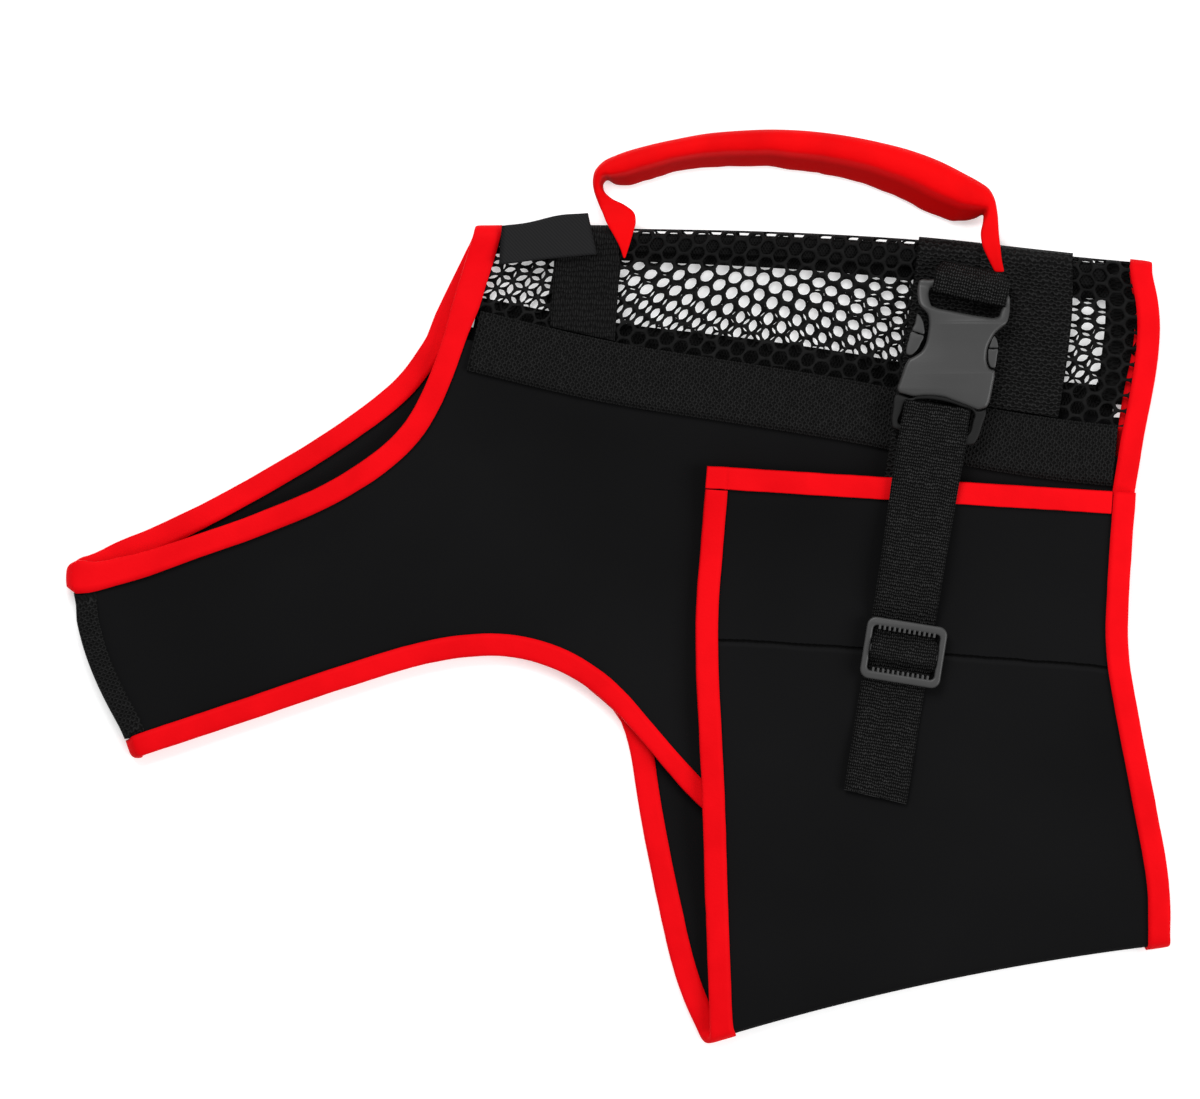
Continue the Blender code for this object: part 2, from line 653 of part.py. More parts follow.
def anchor_webbing(net, near, webbing_height, last, out):
    """Webbing under the buckle: from below the flap's top edge, over the seam and the spine."""
    upper = net.over(ANCHOR_CROSSING, range(2, last + 1), out)
    start = upper[0].mean(axis=0)[:2]
    lean = np.array([sin(ANCHOR_LEAN), -cos(ANCHOR_LEAN)])
    half = np.array([-lean[1], lean[0]]) * WEBBING / 2
    to_seam = net.near_seam.distance_to(start[None])[0]
    over_seam = webbing_height + TAPE + GAP
    rows = []
    for beyond in ANCHOR_BEYOND_SEAM:
        middle = start + lean * (to_seam + beyond)
        height = over_seam
        if abs(beyond) > WEBBING / 2 + 4:
            height = resting(middle[None], near.tops())[0] + GAP + TAPE / 2
        rows.append([(*(middle + half * side), height) for side in (-1, 0, 1)])
    return np.concatenate([rows, upper])


def belly_rows():
    """The belly panel's rows: down the back leg, round the fold and up the front leg.

    Each point has its plan, its distance to the flap's top, its turn round the fold and its
    distance to the nearer side.
    """
    back_left, back_right = Line(BELLY_LEFT), Line(BELLY_RIGHT)
    flap_left, flap_right = Line(FLAP_LEFT), Line(FLAP_RIGHT)
    rows = []

    def add(left, right, sag, lift, turn):
        width = np.linalg.norm(right - left)
        edge = [0, BAND - WEB, BAND - WEB + BAND_FADE]
        inside = np.linspace(edge[-1], width - 2 * WEB - edge[-1], 9)[1:-1]
        places = edge + list(inside) + [width - 2 * WEB - e for e in edge[::-1]]
        across = (right - left) / width
        row = []
        for place in places:
            part = (place + WEB) / width
            point = left + across * (place + WEB)
            point = point + np.array([0, 4 * part * (1 - part) * sag])
            row.append((*point, lift, turn, min(place, width - 2 * WEB - place)))
        rows.append(row)

    for r in range(BACK_LEG_ROWS):
        part = r / (BACK_LEG_ROWS - 1)
        inset = GAP / 2 * (1 - part)
        left = back_left.at(part * (back_left.length - inset) + inset)
        right = back_right.at(part * (back_right.length - inset) + inset)
        add(left, right, FOLD_BOW * part ** 3, 0, 0)
    low = (back_left.at(back_left.length), back_right.at(back_right.length))
    high = (flap_left.at(0), flap_right.at(0))
    for step in range(1, FOLD_STEPS):
        turn = pi * step / FOLD_STEPS
        part = (1 - cos(turn)) / 2
        left = low[0] + (high[0] - low[0]) * part
        right = low[1] + (high[1] - low[1]) * part
        add(left, right, FOLD_BOW, 0, turn)
    front_top = flap_left.length - WEB
    front = [0] + list(np.linspace(14, front_top - BAND + WEB - BAND_FADE, 15))
    front += [front_top - BAND + WEB, front_top]
    for place in front:
        part = place / flap_left.length
        left = flap_left.at(place)
        right = flap_right.at(part * flap_right.length)
        add(left, right, FOLD_BOW * max(0, 1 - place / 60) ** 2, flap_left.length - place, pi)
    return np.array(rows)


def belly_heights(rows, below):
    """Real points of the belly panel from its plan, its fold and what lies below its front leg."""
    plan = rows[..., :2].copy()
    to_top, turn, to_side = rows[..., 2], rows[..., 3], rows[..., 4]
    rise = BIND_RISE * faded(to_side, BAND - WEB + 0.1, BAND_FADE)
    height = FAR_REST + rise + FOLD_RADIUS * (1 - np.cos(turn))
    chord = unit(plan[:, -1] - plan[:, 0])
    outward = np.stack([chord[:, 1], -chord[:, 0]], axis=-1)[:, None, :]
    plan += outward * (FOLD_RADIUS * np.sin(turn))[..., None]
    front = turn == pi
    top_rise = BIND_RISE * faded(to_top, BAND + 0.1, BAND_FADE)
    held = resting(plan.reshape(-1, 2), below).reshape(front.shape) + GAP + PANEL / 2
    held += np.maximum(rise, top_rise)
    height = np.where(front, np.maximum(height, held), height)
    for pair in ([0, 1], [-1, -2]):
        height[:, pair] = height[:, pair].max(axis=1, keepdims=True)
    height[-2:] = height[-2:].max(axis=0, keepdims=True)
    return np.concatenate([plan, height[..., None]], axis=-1)


def rounded_prism(name, loops, low, thickness, finish, into, bevel=0.6):
    """A plate from closed outlines, the first one outside and the rest holes, with soft edges."""
    curve = bpy.data.curves.new(name, "CURVE")
    curve.dimensions = "2D"
    curve.fill_mode = "BOTH"
    curve.extrude = thickness / 2 * MM
    for loop in loops:
        spline = curve.splines.new("POLY")
        spline.points.add(len(loop) - 1)
        for point, (x, y) in zip(spline.points, loop):
            point.co = (x * MM, y * MM, 0, 1)
        spline.use_cyclic_u = True
    flat = bpy.data.objects.new(name, curve)
    into.objects.link(flat)
    shape = bpy.data.meshes.new_from_object(flat.evaluated_get(bpy.context.evaluated_depsgraph_get()))
    bpy.data.objects.remove(flat)
    shaped = bmesh.new()
    shaped.from_mesh(shape)
    bmesh.ops.remove_doubles(shaped, verts=shaped.verts, dist=1e-6)
    bmesh.ops.recalc_face_normals(shaped, faces=shaped.faces)
    shaped.to_mesh(shape)
    shaped.free()
    shape.shade_smooth()
    shape.set_sharp_from_angle(angle=radians(35))
    shape.materials.clear()
    shape.materials.append(finish_material(finish))
    thing = bpy.data.objects.new(name, shape)
    thing.location.z = (low + thickness / 2) * MM
    into.objects.link(thing)
    if bevel:
        soft = thing.modifiers.new("soft edges", "BEVEL")
        soft.width = bevel * MM
        soft.segments = 1
        soft.limit_method = "ANGLE"
        soft.angle_limit = radians(50)
    return thing


def rectangle(width, height, centre_y=0.0, corner=1.0):
    """A box outline with cut corners."""
    x, y = width / 2, height / 2
    half = [(x - corner, -y), (x, corner - y), (x, y - corner), (x - corner, y)]
    return [(a, b + centre_y) for a, b in half + [(-a, -b) for a, b in half]]


def mirrored(half):
    """A whole outline from its +X half."""
    right = [(s.x, s.y) for s in half]
    return right + [(-x, y) for x, y in right[::-1] if x > 0]


def place_plate(thing, spot, turn):
    thing.location.x = (spot[0] - ORIGIN[0]) * MM
    thing.location.y = (spot[1] - ORIGIN[1]) * MM
    thing.rotation_euler.z = turn


def build_buckle(into, cutters):
    """Socket and plug, fastened."""
    socket = rounded_prism(
        "buckle_socket", [mirrored(SOCKET_HALF), rectangle(*SLOT)], BUCKLE_FLOOR, BUCKLE_THICK,
        "buckle_plastic", into, bevel=1.2)
    plug_floor = BUCKLE_FLOOR + (BUCKLE_THICK - PLUG_THICK) / 2
    plug = rounded_prism(
        "buckle_plug", [mirrored(PLUG_HALF), rectangle(*PLUG_SLOT)], plug_floor, PLUG_THICK,
        "buckle_plastic", into, bevel=0)
    room = rounded_prism(
        "plug_room", [mirrored(PLUG_HALF)], plug_floor, PLUG_THICK, "buckle_plastic", cutters,
        bevel=0)
    swell = room.modifiers.new("clearance", "DISPLACE")
    swell.strength = GAP * 1.3 * MM
    swell.mid_level = 0
    room.hide_render = True
    room.display_type = "WIRE"
    for thing in (socket, plug, room):
        place_plate(thing, BUCKLE_CENTRE, BUCKLE_TILT)
    recess = rounded_prism(
        "bar_recess", [rectangle(*BAR_RECESS)], BUCKLE_FLOOR + BAR_THICK, BUCKLE_THICK,
        "buckle_plastic", cutters, bevel=0)
    recess.hide_render = True
    recess.display_type = "WIRE"
    place_plate(recess, BUCKLE_CENTRE, BUCKLE_TILT)
    for cutter in (room, recess):
        cut = socket.modifiers.new(cutter.name, "BOOLEAN")
        cut.operation = "DIFFERENCE"
        cut.object = cutter

    up = np.array([-sin(BUCKLE_TILT), cos(BUCKLE_TILT)])
    over_bar = BUCKLE_FLOOR + BAR_THICK + GAP + TAPE / 2
    path = [(stop.away, stop.height) for stop in LOOP_UNDER]
    path += [(stop.away, over_bar + stop.height) for stop in LOOP_OVER]
    right = np.array([up[1], -up[0]])
    middle = np.array(BUCKLE_CENTRE) + right * LOOP_ASIDE
    spots = [(*(middle + up * away), height) for away, height in path]
    ribbon("buckle_loop", spots, right, WEBBING, into)


def oval_loft(name, sections, sides, finish, into):
    """A padded tube through oval sections."""
    places = np.array([(s.x, s.y, s.z) for s in sections])
    steps = unit(np.diff(places, axis=0))
    along = np.concatenate([steps[:1], unit(steps[1:] + steps[:-1]), steps[-1:]])
    points = []
    for section, place, direction in zip(sections, places, along):
        across = unit(np.array([-direction[1], direction[0], 0]))
        up = np.cross(direction, across)
        for k in range(sides):
            angle = 2 * pi * k / sides
            points.append(place + across * section.width / 2 * cos(angle)
                          + up * section.height / 2 * sin(angle))
    faces = []
    for r in range(len(sections) - 1):
        for k in range(sides):
            a = r * sides + k
            b = r * sides + (k + 1) % sides
            faces.append((a, b, b + sides, a + sides))
    faces.append(tuple(range(sides)))
    faces.append(tuple(range((len(sections) - 1) * sides, len(sections) * sides)))
    return make_object(name, points, faces, finish, into)


def main():
    clear_scene()
    vest = collection("dog_mobility_vest")
    cutters = collection("cutters")

    near_seam, far_seam, spine = Line(NEAR_SEAM), Line(FAR_SEAM), Line(SPINE)
    chest = Line(CHEST)

    far = Panel([
        Side(Line(FAR_ARM), "bound"), Side(Line(BELLY_SEAM), "joint"),
        Side(backwards(Line(FAR_REAR)), "bound"), Side(backwards(far_seam), "seam"),
        Side(backwards(Line(FAR_NECK)), "bound"), Side(chest, "bound"),
    ])
    far.set_heights(far_heights(far, far_seam))
    far.build("far_side_panel", "neoprene", vest)

    belly_plan = belly_rows()
    back_leg = belly_heights(belly_plan, np.array([[0, 0, -100.0]]))[:BACK_LEG_ROWS]
    back_leg[..., 2] += PANEL / 2
    back_leg[:, [0, 1, -2, -1], 2] += BIND_RISE
    below_near = np.concatenate([far.tops(), back_leg.reshape(-1, 3)])

    near = Panel([
        Side(Line(NEAR_ARM), "bound"), Side(backwards(Line(NEAR_REAR)), "bound"),
        Side(backwards(near_seam), "seam"), Side(backwards(Line(NEAR_NECK)), "bound"),
        Side(chest, "bound"),
    ])
    near.set_heights(near_heights(near, below_near, near_seam, chest))
    near.build("near_side_panel", "neoprene", vest)

    net = BackNet(near_seam, far_seam, spine)
    cloth_grid("back_mesh", net.grid, NET, "net", vest)
    row_count = len(net.grid)
    crest = 1 + len(NET_ROWS)
    last = row_count - 2

    near_webbing_height = NEAR_SEAM_HEIGHT + PANEL / 2 + GAP + TAPE / 2
    seam_webbing("near_seam_webbing", near_seam, near_webbing_height, NEAR_WEBBING_STOPS, vest)
    seam_webbing("far_seam_webbing", far_seam, TAPE / 2, FAR_WEBBING_STOPS, vest)

    out = NET / 2 + GAP + TAPE / 2
    for name, crossing in CROSS_WEBBINGS.items():
        strip = net.over(crossing, range(1, last + 1), out)
        cloth_grid(name, strip, TAPE, "webbing", vest)

    anchor = anchor_webbing(net, near, near_webbing_height, last, out)
    cloth_grid("buckle_anchor_webbing", anchor, TAPE, "webbing", vest)

    length = spine.length
    hem_end = 1 - (BIND_WIDTH + GAP) / length
    hem_start = hem_end - HEM_TAPE_WIDTH / length
    inner_rows = list(range(crest - 1, crest + ROLL_STEPS + 2))
    spine_shares = np.linspace(net.shares[1] + 0.004, hem_start - 0.004, 16)
    spine_grid = np.array([net.lifted(share, -out)[inner_rows] for share in spine_shares])
    cloth_grid("spine_webbing", spine_grid.swapaxes(0, 1), TAPE, "webbing", vest)
    hem_rows = list(range(crest + ROLL_STEPS, row_count - 1))
    hem_out = NET / 2 + GAP + HEM_TAPE / 2
    hem = [net.lifted(share, -hem_out)[hem_rows] for share in (hem_start, hem_end)]
    cloth_grid("rear_hem_tape", hem, HEM_TAPE, "webbing", vest)

    anchor_tops = anchor.reshape(-1, 3) + np.array([0, 0, TAPE / 2])
    below_flap = np.concatenate([near.tops(), below_near, anchor_tops[:ANCHOR_UNDER_FLAP]])
    belly = belly_heights(belly_plan, below_flap)
    cloth_grid("belly_panel", belly, PANEL, "neoprene", vest)

    bindings(vest, near, far, net, belly)
    oval_loft("carry_handle", GRIP, GRIP_SIDES, "red_binding", vest)
    neck_label(vest, net)
    build_buckle(vest, cutters)
    build_strap(vest, belly, anchor_tops)


def bindings(vest, near, far, net, belly):
    """The red edge bindings and the black tape of the chest seam."""
    half = PANEL / 2
    rows = np.arange(len(net.grid))
    near_neck, near_neck_in = near.stations(3)
    far_neck, far_neck_in = far.stations(4)
    near_chest, near_chest_in = near.stations(4)
    down = near_chest[1] - near_chest[0]
    up = near_chest[-2] - near_chest[-1]
    near_neck_in[-1] = near_neck[-1] + down
    far_neck_in[-1] = far_neck[-1] + down
    turn, turn_in = turn_under(near_neck[-1], far_neck[-1], down)
    net_front, net_front_in = net_edge(net, 0, 1, rows[1:-1][::-1])
    edge = list(near_neck) + turn + list(far_neck[::-1]) + net_front
    inner = list(near_neck_in) + turn_in + list(far_neck_in[::-1]) + net_front_in
    halves = [half] * (len(edge) - len(net_front)) + [NET / 2] * len(net_front)
    binding("neck_binding", edge, inner, halves, "red_binding", vest, closed=True)

    near_arm, near_arm_in = near.stations(0)
    far_arm, far_arm_in = far.stations(0)
    near_arm_in[0] = near_arm[0] + up
    far_arm_in[0] = far_arm[0] + up
    turn, turn_in = turn_under(near_arm[0], far_arm[0], up)
    lap = 1.5
    ahead = unit(far_arm[1] - far_arm[0]) * lap
    edge = [far_arm[0] + ahead, far_arm[0]] + turn[::-1] + list(near_arm)
    inner = [far_arm_in[0] + ahead, far_arm_in[0]] + turn_in[::-1] + list(near_arm_in)
    stop = WEB - BIND_WIDTH - GAP - 0.1
    binding("near_arm_binding", edge, inner, [half] * len(edge), "red_binding", vest,
            extend=(0, stop))

    edge = list(far_arm[:-1]) + list(belly[1:, 0])
    inner = list(far_arm_in[:-1]) + list(belly[1:, 1])
    binding("far_arm_binding", edge, inner, [half] * len(edge), "red_binding", vest,
            extend=(-lap - GAP - 0.1, stop))

    edge = list(belly[-1])
    inner = list(belly[-2])
    binding("flap_top_binding", edge, inner, [half] * len(edge), "red_binding", vest,
            extend=(WEB, stop))

    near_rear, near_rear_in = near.stations(1)
    net_rear, net_rear_in = net_edge(net, -1, -2, rows[1:-1])
    far_rear, far_rear_in = far.stations(2, (False, True))
    edge = list(near_rear) + net_rear + list(far_rear[::-1]) + list(belly[1:, -1])
    inner = list(near_rear_in) + net_rear_in + list(far_rear_in[::-1]) + list(belly[1:, -2])
    halves = [half] * len(near_rear) + [NET / 2] * len(net_rear)
    halves += [half] * (len(edge) - len(halves))
    binding("rear_binding", edge, inner, halves, "red_binding", vest, extend=(WEB, WEB))

    level = (CHEST_HEIGHT + FAR_REST + BIND_RISE) / 2
    stack = (CHEST_HEIGHT - FAR_REST - BIND_RISE) / 2 + PANEL / 2
    edge = near_chest[1:-1].copy()
    inner = near_chest_in[1:-1].copy()
    edge[:, 2] = level
    inner[:, 2] = level
    for end, beside in ((0, 1), (-1, -2)):
        along = unit(edge[end] - edge[beside])
        edge[end] += along * CHEST_TAPE_REACH[0]
        inner[end] += along * CHEST_TAPE_REACH[1]
    binding("chest_tape", edge, inner, [stack] * len(edge), "webbing", vest)


def neck_label(into, net):
    """A stiff label over the net and its webbing, from below the spine to above it."""
    over = NET / 2 + GAP + TAPE + GAP + TAPE / 2
    height = max(net.lifted(share, over)[:, 2].max() for share in LABEL_SHARES)
    low, high = np.array(LABEL_LOW), np.array(LABEL_HIGH)
    label = []
    for along in np.linspace(0, 1, 5):
        foot = low[0] + (low[1] - low[0]) * along
        head = high[0] + (high[1] - high[0]) * along
        label.append([(*(foot + (head - foot) * up), height) for up in np.linspace(0, 1, 4)])
    cloth_grid("neck_label", label, NET, "label_cloth", into)


def build_strap(into, belly, anchor_tops):
    """The strap from the plug's slot, through the slider, and down over the flap."""
    tops = belly[BACK_LEG_ROWS + FOLD_STEPS - 1:].copy()
    tops[..., 2] += PANEL / 2
    tops[-2:, :, 2] += BIND_RISE
    start = np.array([STRAP_TOP.x, STRAP_TOP.y])
    end = np.array([STRAP_END.x, STRAP_END.y])
    along = unit(end - start)
    across = np.array([-along[1], along[0]])
    bar_height = BUCKLE_FLOOR + BUCKLE_THICK / 2
    flat_tops = np.concatenate([tops.reshape(-1, 3), anchor_tops[:ANCHOR_BELOW_BUCKLE]])

    def lower(away):
        middle = start + along * away
        spots = middle + across * STRAP_WIDTH * np.array([[-0.43], [0], [0.43]])
        return resting(spots, flat_tops).max() + GAP + TAPE / 2

    def path_point(away, height):
        return (*(start + along * away), height)

    under = BUCKLE_FLOOR + (BUCKLE_THICK - PLUG_THICK) / 2 - GAP - TAPE / 2
    over_bar = BUCKLE_FLOOR + (BUCKLE_THICK + PLUG_THICK) / 2 + GAP + TAPE / 2
    path = [path_point(away, lower(away)) for away in (STRAP_SEWN, 70, 58, 48, 38, 28, 21)]
    bar_turn = [
        Stop(15, under), Stop(3, under), Stop(0.6, under + 1), Stop(0, bar_height),
        Stop(0.6, over_bar - 1), Stop(3, over_bar), Stop(15, over_bar),
    ]
    path += [path_point(*stop) for stop in bar_turn]
    raised = TAPE + GAP
    for away in (21, 29, 38, 48, 58, 70, STRAP_SEWN + 1):
        fall = over_bar - (away - bar_turn[-1].away) * STRAP_FALL
        path.append(path_point(away, max(lower(away) + raised, fall)))
    bed = max(lower(SLIDER_AT + shift) for shift in (-12, -6, 0, 6, 12))
    slider_floor = bed + TAPE / 2 + GAP + 0.2
    over_slider = slider_floor + SLIDER_THICK + TAPE / 2 + GAP + 0.1
    half_hump = [
        Stop(13.6, bed), Stop(8.4, bed), Stop(6, bed + 1), Stop(3.2, over_slider - 0.4),
        Stop(1.8, over_slider),
    ]
    path += [path_point(SLIDER_AT - stop.away, stop.height) for stop in half_hump]
    path += [path_point(SLIDER_AT + stop.away, stop.height) for stop in half_hump[::-1]]
    whole = np.linalg.norm(end - start)
    for away in np.linspace(SLIDER_AT + 22, whole, 5):
        path.append(path_point(away, lower(away)))
    ribbon("strap", path, across, STRAP_WIDTH, into)

    width, height = SLIDER_SIZE
    hole = (height - 3 * SLIDER_BAR) / 2
    shift = (hole + SLIDER_BAR) / 2
    inner_width = width - 1.2 * SLIDER_BAR
    loops = [rectangle(width, height, 0, 3)]
    loops += [rectangle(inner_width, hole, s * shift, 0.8) for s in (-1, 1)]
    slider = rounded_prism("strap_slider", loops, slider_floor, SLIDER_THICK, "buckle_plastic", into)
    place_plate(slider, start + along * SLIDER_AT, np.arctan2(across[1], across[0]))


main()
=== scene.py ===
"""Looks of a dog mobility vest that lies flat on its side: net with real holes, neoprene panels,
bound edges, woven webbing, a padded handle and a fastened buckle. Tables and sizes are in
millimetres, seen from above, as in the part's own drawing, and become metres in each mesh.
"""

from collections import namedtuple
from math import cos, pi, radians, sin

import bmesh
import bpy
import numpy as np
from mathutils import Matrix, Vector, noise


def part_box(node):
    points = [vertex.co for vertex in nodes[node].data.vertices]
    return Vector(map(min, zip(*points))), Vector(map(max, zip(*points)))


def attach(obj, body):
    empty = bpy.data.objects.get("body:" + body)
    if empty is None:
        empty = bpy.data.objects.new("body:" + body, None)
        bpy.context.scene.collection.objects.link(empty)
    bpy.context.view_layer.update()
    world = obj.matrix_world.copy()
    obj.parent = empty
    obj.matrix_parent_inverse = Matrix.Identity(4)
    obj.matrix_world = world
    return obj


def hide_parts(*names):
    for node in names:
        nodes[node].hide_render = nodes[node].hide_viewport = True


MM = 0.001
ORIGIN = (-0.28, -0.39)  # middle of the vest, in the tables' own coordinates
PHOTO_MIDDLE = (-7.4, 14.8)  # what the photograph's middle looks at, in the tables' coordinates
PHOTO_WIDTH = 479.2  # how much of the ground the photograph spans
PHOTO_ORIGIN = (618.5, 586.5)  # the pixel that shows the tables' origin
PIXEL = 0.4  # one pixel of the photograph
CAMERA_HEIGHT = 6000.0

WEBBING = 24.5
NET_HALF = 0.5  # half the thickness of the net's solid
SPINE_RADIUS = 3.75  # bend of the net over the spine, middle of the net
SPINE_HEIGHT = 9.5  # middle of the near net beside the spine
NEAR_SEAM_NET = 7.9  # middle of the near net at its seam
FAR_NET_HEIGHT = 2.0  # middle of the far net
NET_REAR_BOW = 5.4  # how far the rear edge of the net swells out
NET_BOW_LEAN = 1.5  # above 1, the swelling is nearer to the spine
FAR_NET_BOW = 0.85  # the far leg's swelling, as a share of the near one's
NET_FIRST_ROW = WEBBING / 2 + 0.4
ROLL_STEPS = 12
NET_PITCH = 6.35  # from hole to hole
NET_STRAND = 1.05
NET_MEETING = (117.0, 40.0)  # along and down from the spine, where both layers' holes meet
NET_TURN = radians(1.8)  # the far layer, against the near one
NET_SIDES = 12  # points round a hole
NET_RINGS = [(0, 0.44), (0.55, 0.42), (1, 0.12), (1, -0.12), (0.55, -0.42), (0, -0.44)]
STRAP_TOP = (128.7, 72.4)
STRAP_END = (103.6, -84.4)
BUCKLE_CENTRE = (133.9, 97.7)
BUCKLE_TILT = radians(-12.2)
SLIDER_AT = 99.8  # its middle, along the strap
SLIDER_ASIDE = 0.9  # how far right of the strap's middle

Spot = namedtuple("Spot", "x y")
NetRow = namedtuple("NetRow", "share height")
Crease = namedtuple("Crease", "x1 y1 x2 y2 width depth")
Grip = namedtuple("Grip", "outer_x outer_y inner_x inner_y low high")
Tip = namedtuple("Tip", "x middle new_middle swell")
Plate = namedtuple("Plate", "loops low high round_over")
Weave = namedtuple("Weave", "along across short narrow rows")

NEAR_SEAM = [
    Spot(-69.5, 101), Spot(0, 84.9), Spot(50, 77), Spot(100, 68.7), Spot(138, 60.7),
    Spot(175, 54.7), Spot(208.5, 51.2),
]
FAR_SEAM = [
    Spot(-72.8, 106.6), Spot(1, 92.8), Spot(50, 87.1), Spot(90, 81.4), Spot(130, 74.6),
    Spot(176, 69.7), Spot(209, 67),
]
SPINE = [
    Spot(-56.2, 143.4), Spot(8.6, 143), Spot(72.6, 141.4), Spot(119.8, 138.6),
    Spot(179.4, 132.2), Spot(213.4, 129),
]
NET_ROWS = [NetRow(0.3, 6.9), NetRow(0.6, 6.8), NetRow(0.82, 8.3), NetRow(1, 9.5)]

# Soft troughs (depth over 0) and ridges, by panel: uneven, as cloth takes them.
CREASES = {
    "near_side_panel": [
        Crease(-196, 2, -120, 12, 16, 0.5), Crease(-150, -36, -84, -6, 20, 0.6),
        Crease(-96, 40, -50, 8, 18, -0.5), Crease(-40, 66, 12, 20, 22, 0.6),
        Crease(-20, -18, 22, -30, 12, 0.4), Crease(18, 52, 90, 44, 15, 0.35),
    ],
    "far_side_panel": [
        Crease(-180, 14, -110, 44, 15, 0.4), Crease(-20, 60, 70, 30, 26, 0.5),
        Crease(90, 0, 170, 26, 20, 0.5),
    ],
    "belly_panel": [
        Crease(52, -60, 120, -104, 22, 0.7), Crease(150, -54, 190, -96, 20, 0.6),
        Crease(60, -150, 140, -128, 26, -0.6), Crease(168, -128, 204, -116, 16, 0.5),
        Crease(58, 12, 100, 4, 14, 0.4), Crease(136, 14, 180, -6, 16, 0.35),
    ],
}
# The neck binding's folded tip, wider and rounder than its solid.
NECK_TIP = [
    Tip(-221.2, 3.7, 3.8, 0.8), Tip(-220.2, 3.7, 3.8, 1.0), Tip(-219, 3.7, 3.9, 1.22),
    Tip(-217, 3.8, 4.1, 1.45), Tip(-215, 4.0, 4.4, 1.5), Tip(-211, 5.5, 5.2, 1.36),
    Tip(-207, 7.0, 6.4, 1.27), Tip(-200, 9.5, 9.1, 1.2), Tip(-191, 12.8, 12.3, 1.13),
    Tip(-167, 21, 21, 1.0), Tip(0, 70, 70, 1.0),
]
FLAP_SEAM = [Spot(34, -20.8), Spot(100, -24.6), Spot(132, -27.4), Spot(204, -32.8)]

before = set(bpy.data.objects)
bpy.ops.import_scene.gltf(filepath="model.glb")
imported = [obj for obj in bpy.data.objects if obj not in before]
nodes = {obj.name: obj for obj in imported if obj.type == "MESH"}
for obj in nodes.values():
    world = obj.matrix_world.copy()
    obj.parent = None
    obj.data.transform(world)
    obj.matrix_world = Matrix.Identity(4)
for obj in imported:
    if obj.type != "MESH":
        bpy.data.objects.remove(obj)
scene = bpy.context.scene
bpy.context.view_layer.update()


# Curves and meshes

def bell(distance, width):
    """1 at no distance, softly down to 0 beyond the width."""
    return np.exp(-(distance / width) ** 2)


def unit(vectors):
    vectors = np.asarray(vectors, float)
    return vectors / np.maximum(np.linalg.norm(vectors, axis=-1, keepdims=True), 1e-9)


class Line:
    """A smooth curve through spots, seen from above, measured along its length."""

    def __init__(self, spots, steps=24):
        spots = np.array([(s[0], s[1]) for s in spots], float)
        chord = np.concatenate([[0], np.cumsum(np.linalg.norm(np.diff(spots, axis=0), axis=1))])
        slope = np.gradient(spots, chord, axis=0)
        dense = [spots[:1]]
        for i in range(len(spots) - 1):
            span = chord[i + 1] - chord[i]
            t = np.linspace(0, 1, steps + 1)[1:, None]
            rise = 3 * t ** 2 - 2 * t ** 3
            leave = (t ** 3 - 2 * t ** 2 + t) * span * slope[i]
            arrive = (t ** 3 - t ** 2) * span * slope[i + 1]
            dense.append(spots[i] * (1 - rise) + spots[i + 1] * rise + leave + arrive)
        self.points = np.concatenate(dense)
        steps_long = np.linalg.norm(np.diff(self.points, axis=0), axis=1)
        self.reach = np.concatenate([[0], np.cumsum(steps_long)])
        self.length = self.reach[-1]

    def at(self, distance):
        distance = np.asarray(distance, float)
        axes = [np.interp(distance, self.reach, self.points[:, i]) for i in (0, 1)]
        return np.stack(axes, axis=-1)

    def locate(self, points):
        """Distance along the curve and signed distance from it (left is plus) for each point."""
        starts, ends = self.points[:-1], self.points[1:]
        spans = ends - starts
        away = points[:, None, :] - starts
        share = np.clip((away * spans).sum(-1) / (spans ** 2).sum(-1), 0, 1)
        gap = away - share[..., None] * spans
        far = np.linalg.norm(gap, axis=-1)
        best = far.argmin(axis=1)
        pick = np.arange(len(points))
        cross = spans[best, 0] * gap[pick, best, 1] - spans[best, 1] * gap[pick, best, 0]
        along = self.reach[best] + share[pick, best] * np.linalg.norm(spans[best], axis=-1)
        return along, far[pick, best] * np.sign(cross)


def to_world(points):
    return (np.asarray(points, float) - np.array([*ORIGIN, 0])) * MM


def points_of(thing):
    """A piece's points in the tables' millimetres."""
    found = np.zeros(len(thing.data.vertices) * 3)
    thing.data.vertices.foreach_get("co", found)
    return found.reshape(-1, 3) / MM + np.array([*ORIGIN, 0])


def move_points(thing, points):
    thing.data.vertices.foreach_set("co", to_world(points).ravel())
    thing.data.update()


def placed(name, data):
    """A new object in the scene."""
    thing = bpy.data.objects.new(name, data)
    scene.collection.objects.link(thing)
    return thing


def new_object(name, points, faces):
    """A smooth object from points in the tables' millimetres."""
    mesh = bpy.data.meshes.new(name)
    mesh.from_pydata([tuple(p) for p in to_world(points)], [], [tuple(f) for f in faces])
    mesh.validate()
    mesh.shade_smooth()
    return placed(name, mesh)


def apply_modifiers(thing):
    graph = bpy.context.evaluated_depsgraph_get()
    mesh = bpy.data.meshes.new_from_object(thing.evaluated_get(graph))
    thing.modifiers.clear()
    thing.data = mesh


def dressed(thing, material, node=None):
    """Gives a piece its material and its place on the body, and hides the solid it stands for."""
    thing.data.materials.clear()
    thing.data.materials.append(material)
    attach(thing, "root")
    if node:
        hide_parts(node)
    return thing


WELD = 1e-5  # in metres
FLAT_PAIR = radians(25)  # triangles that meet flatter than this become one four-sided face
SQUARE_PAIR = radians(50)
SHARP = radians(50)  # edges sharper than this stay sharp to the eye


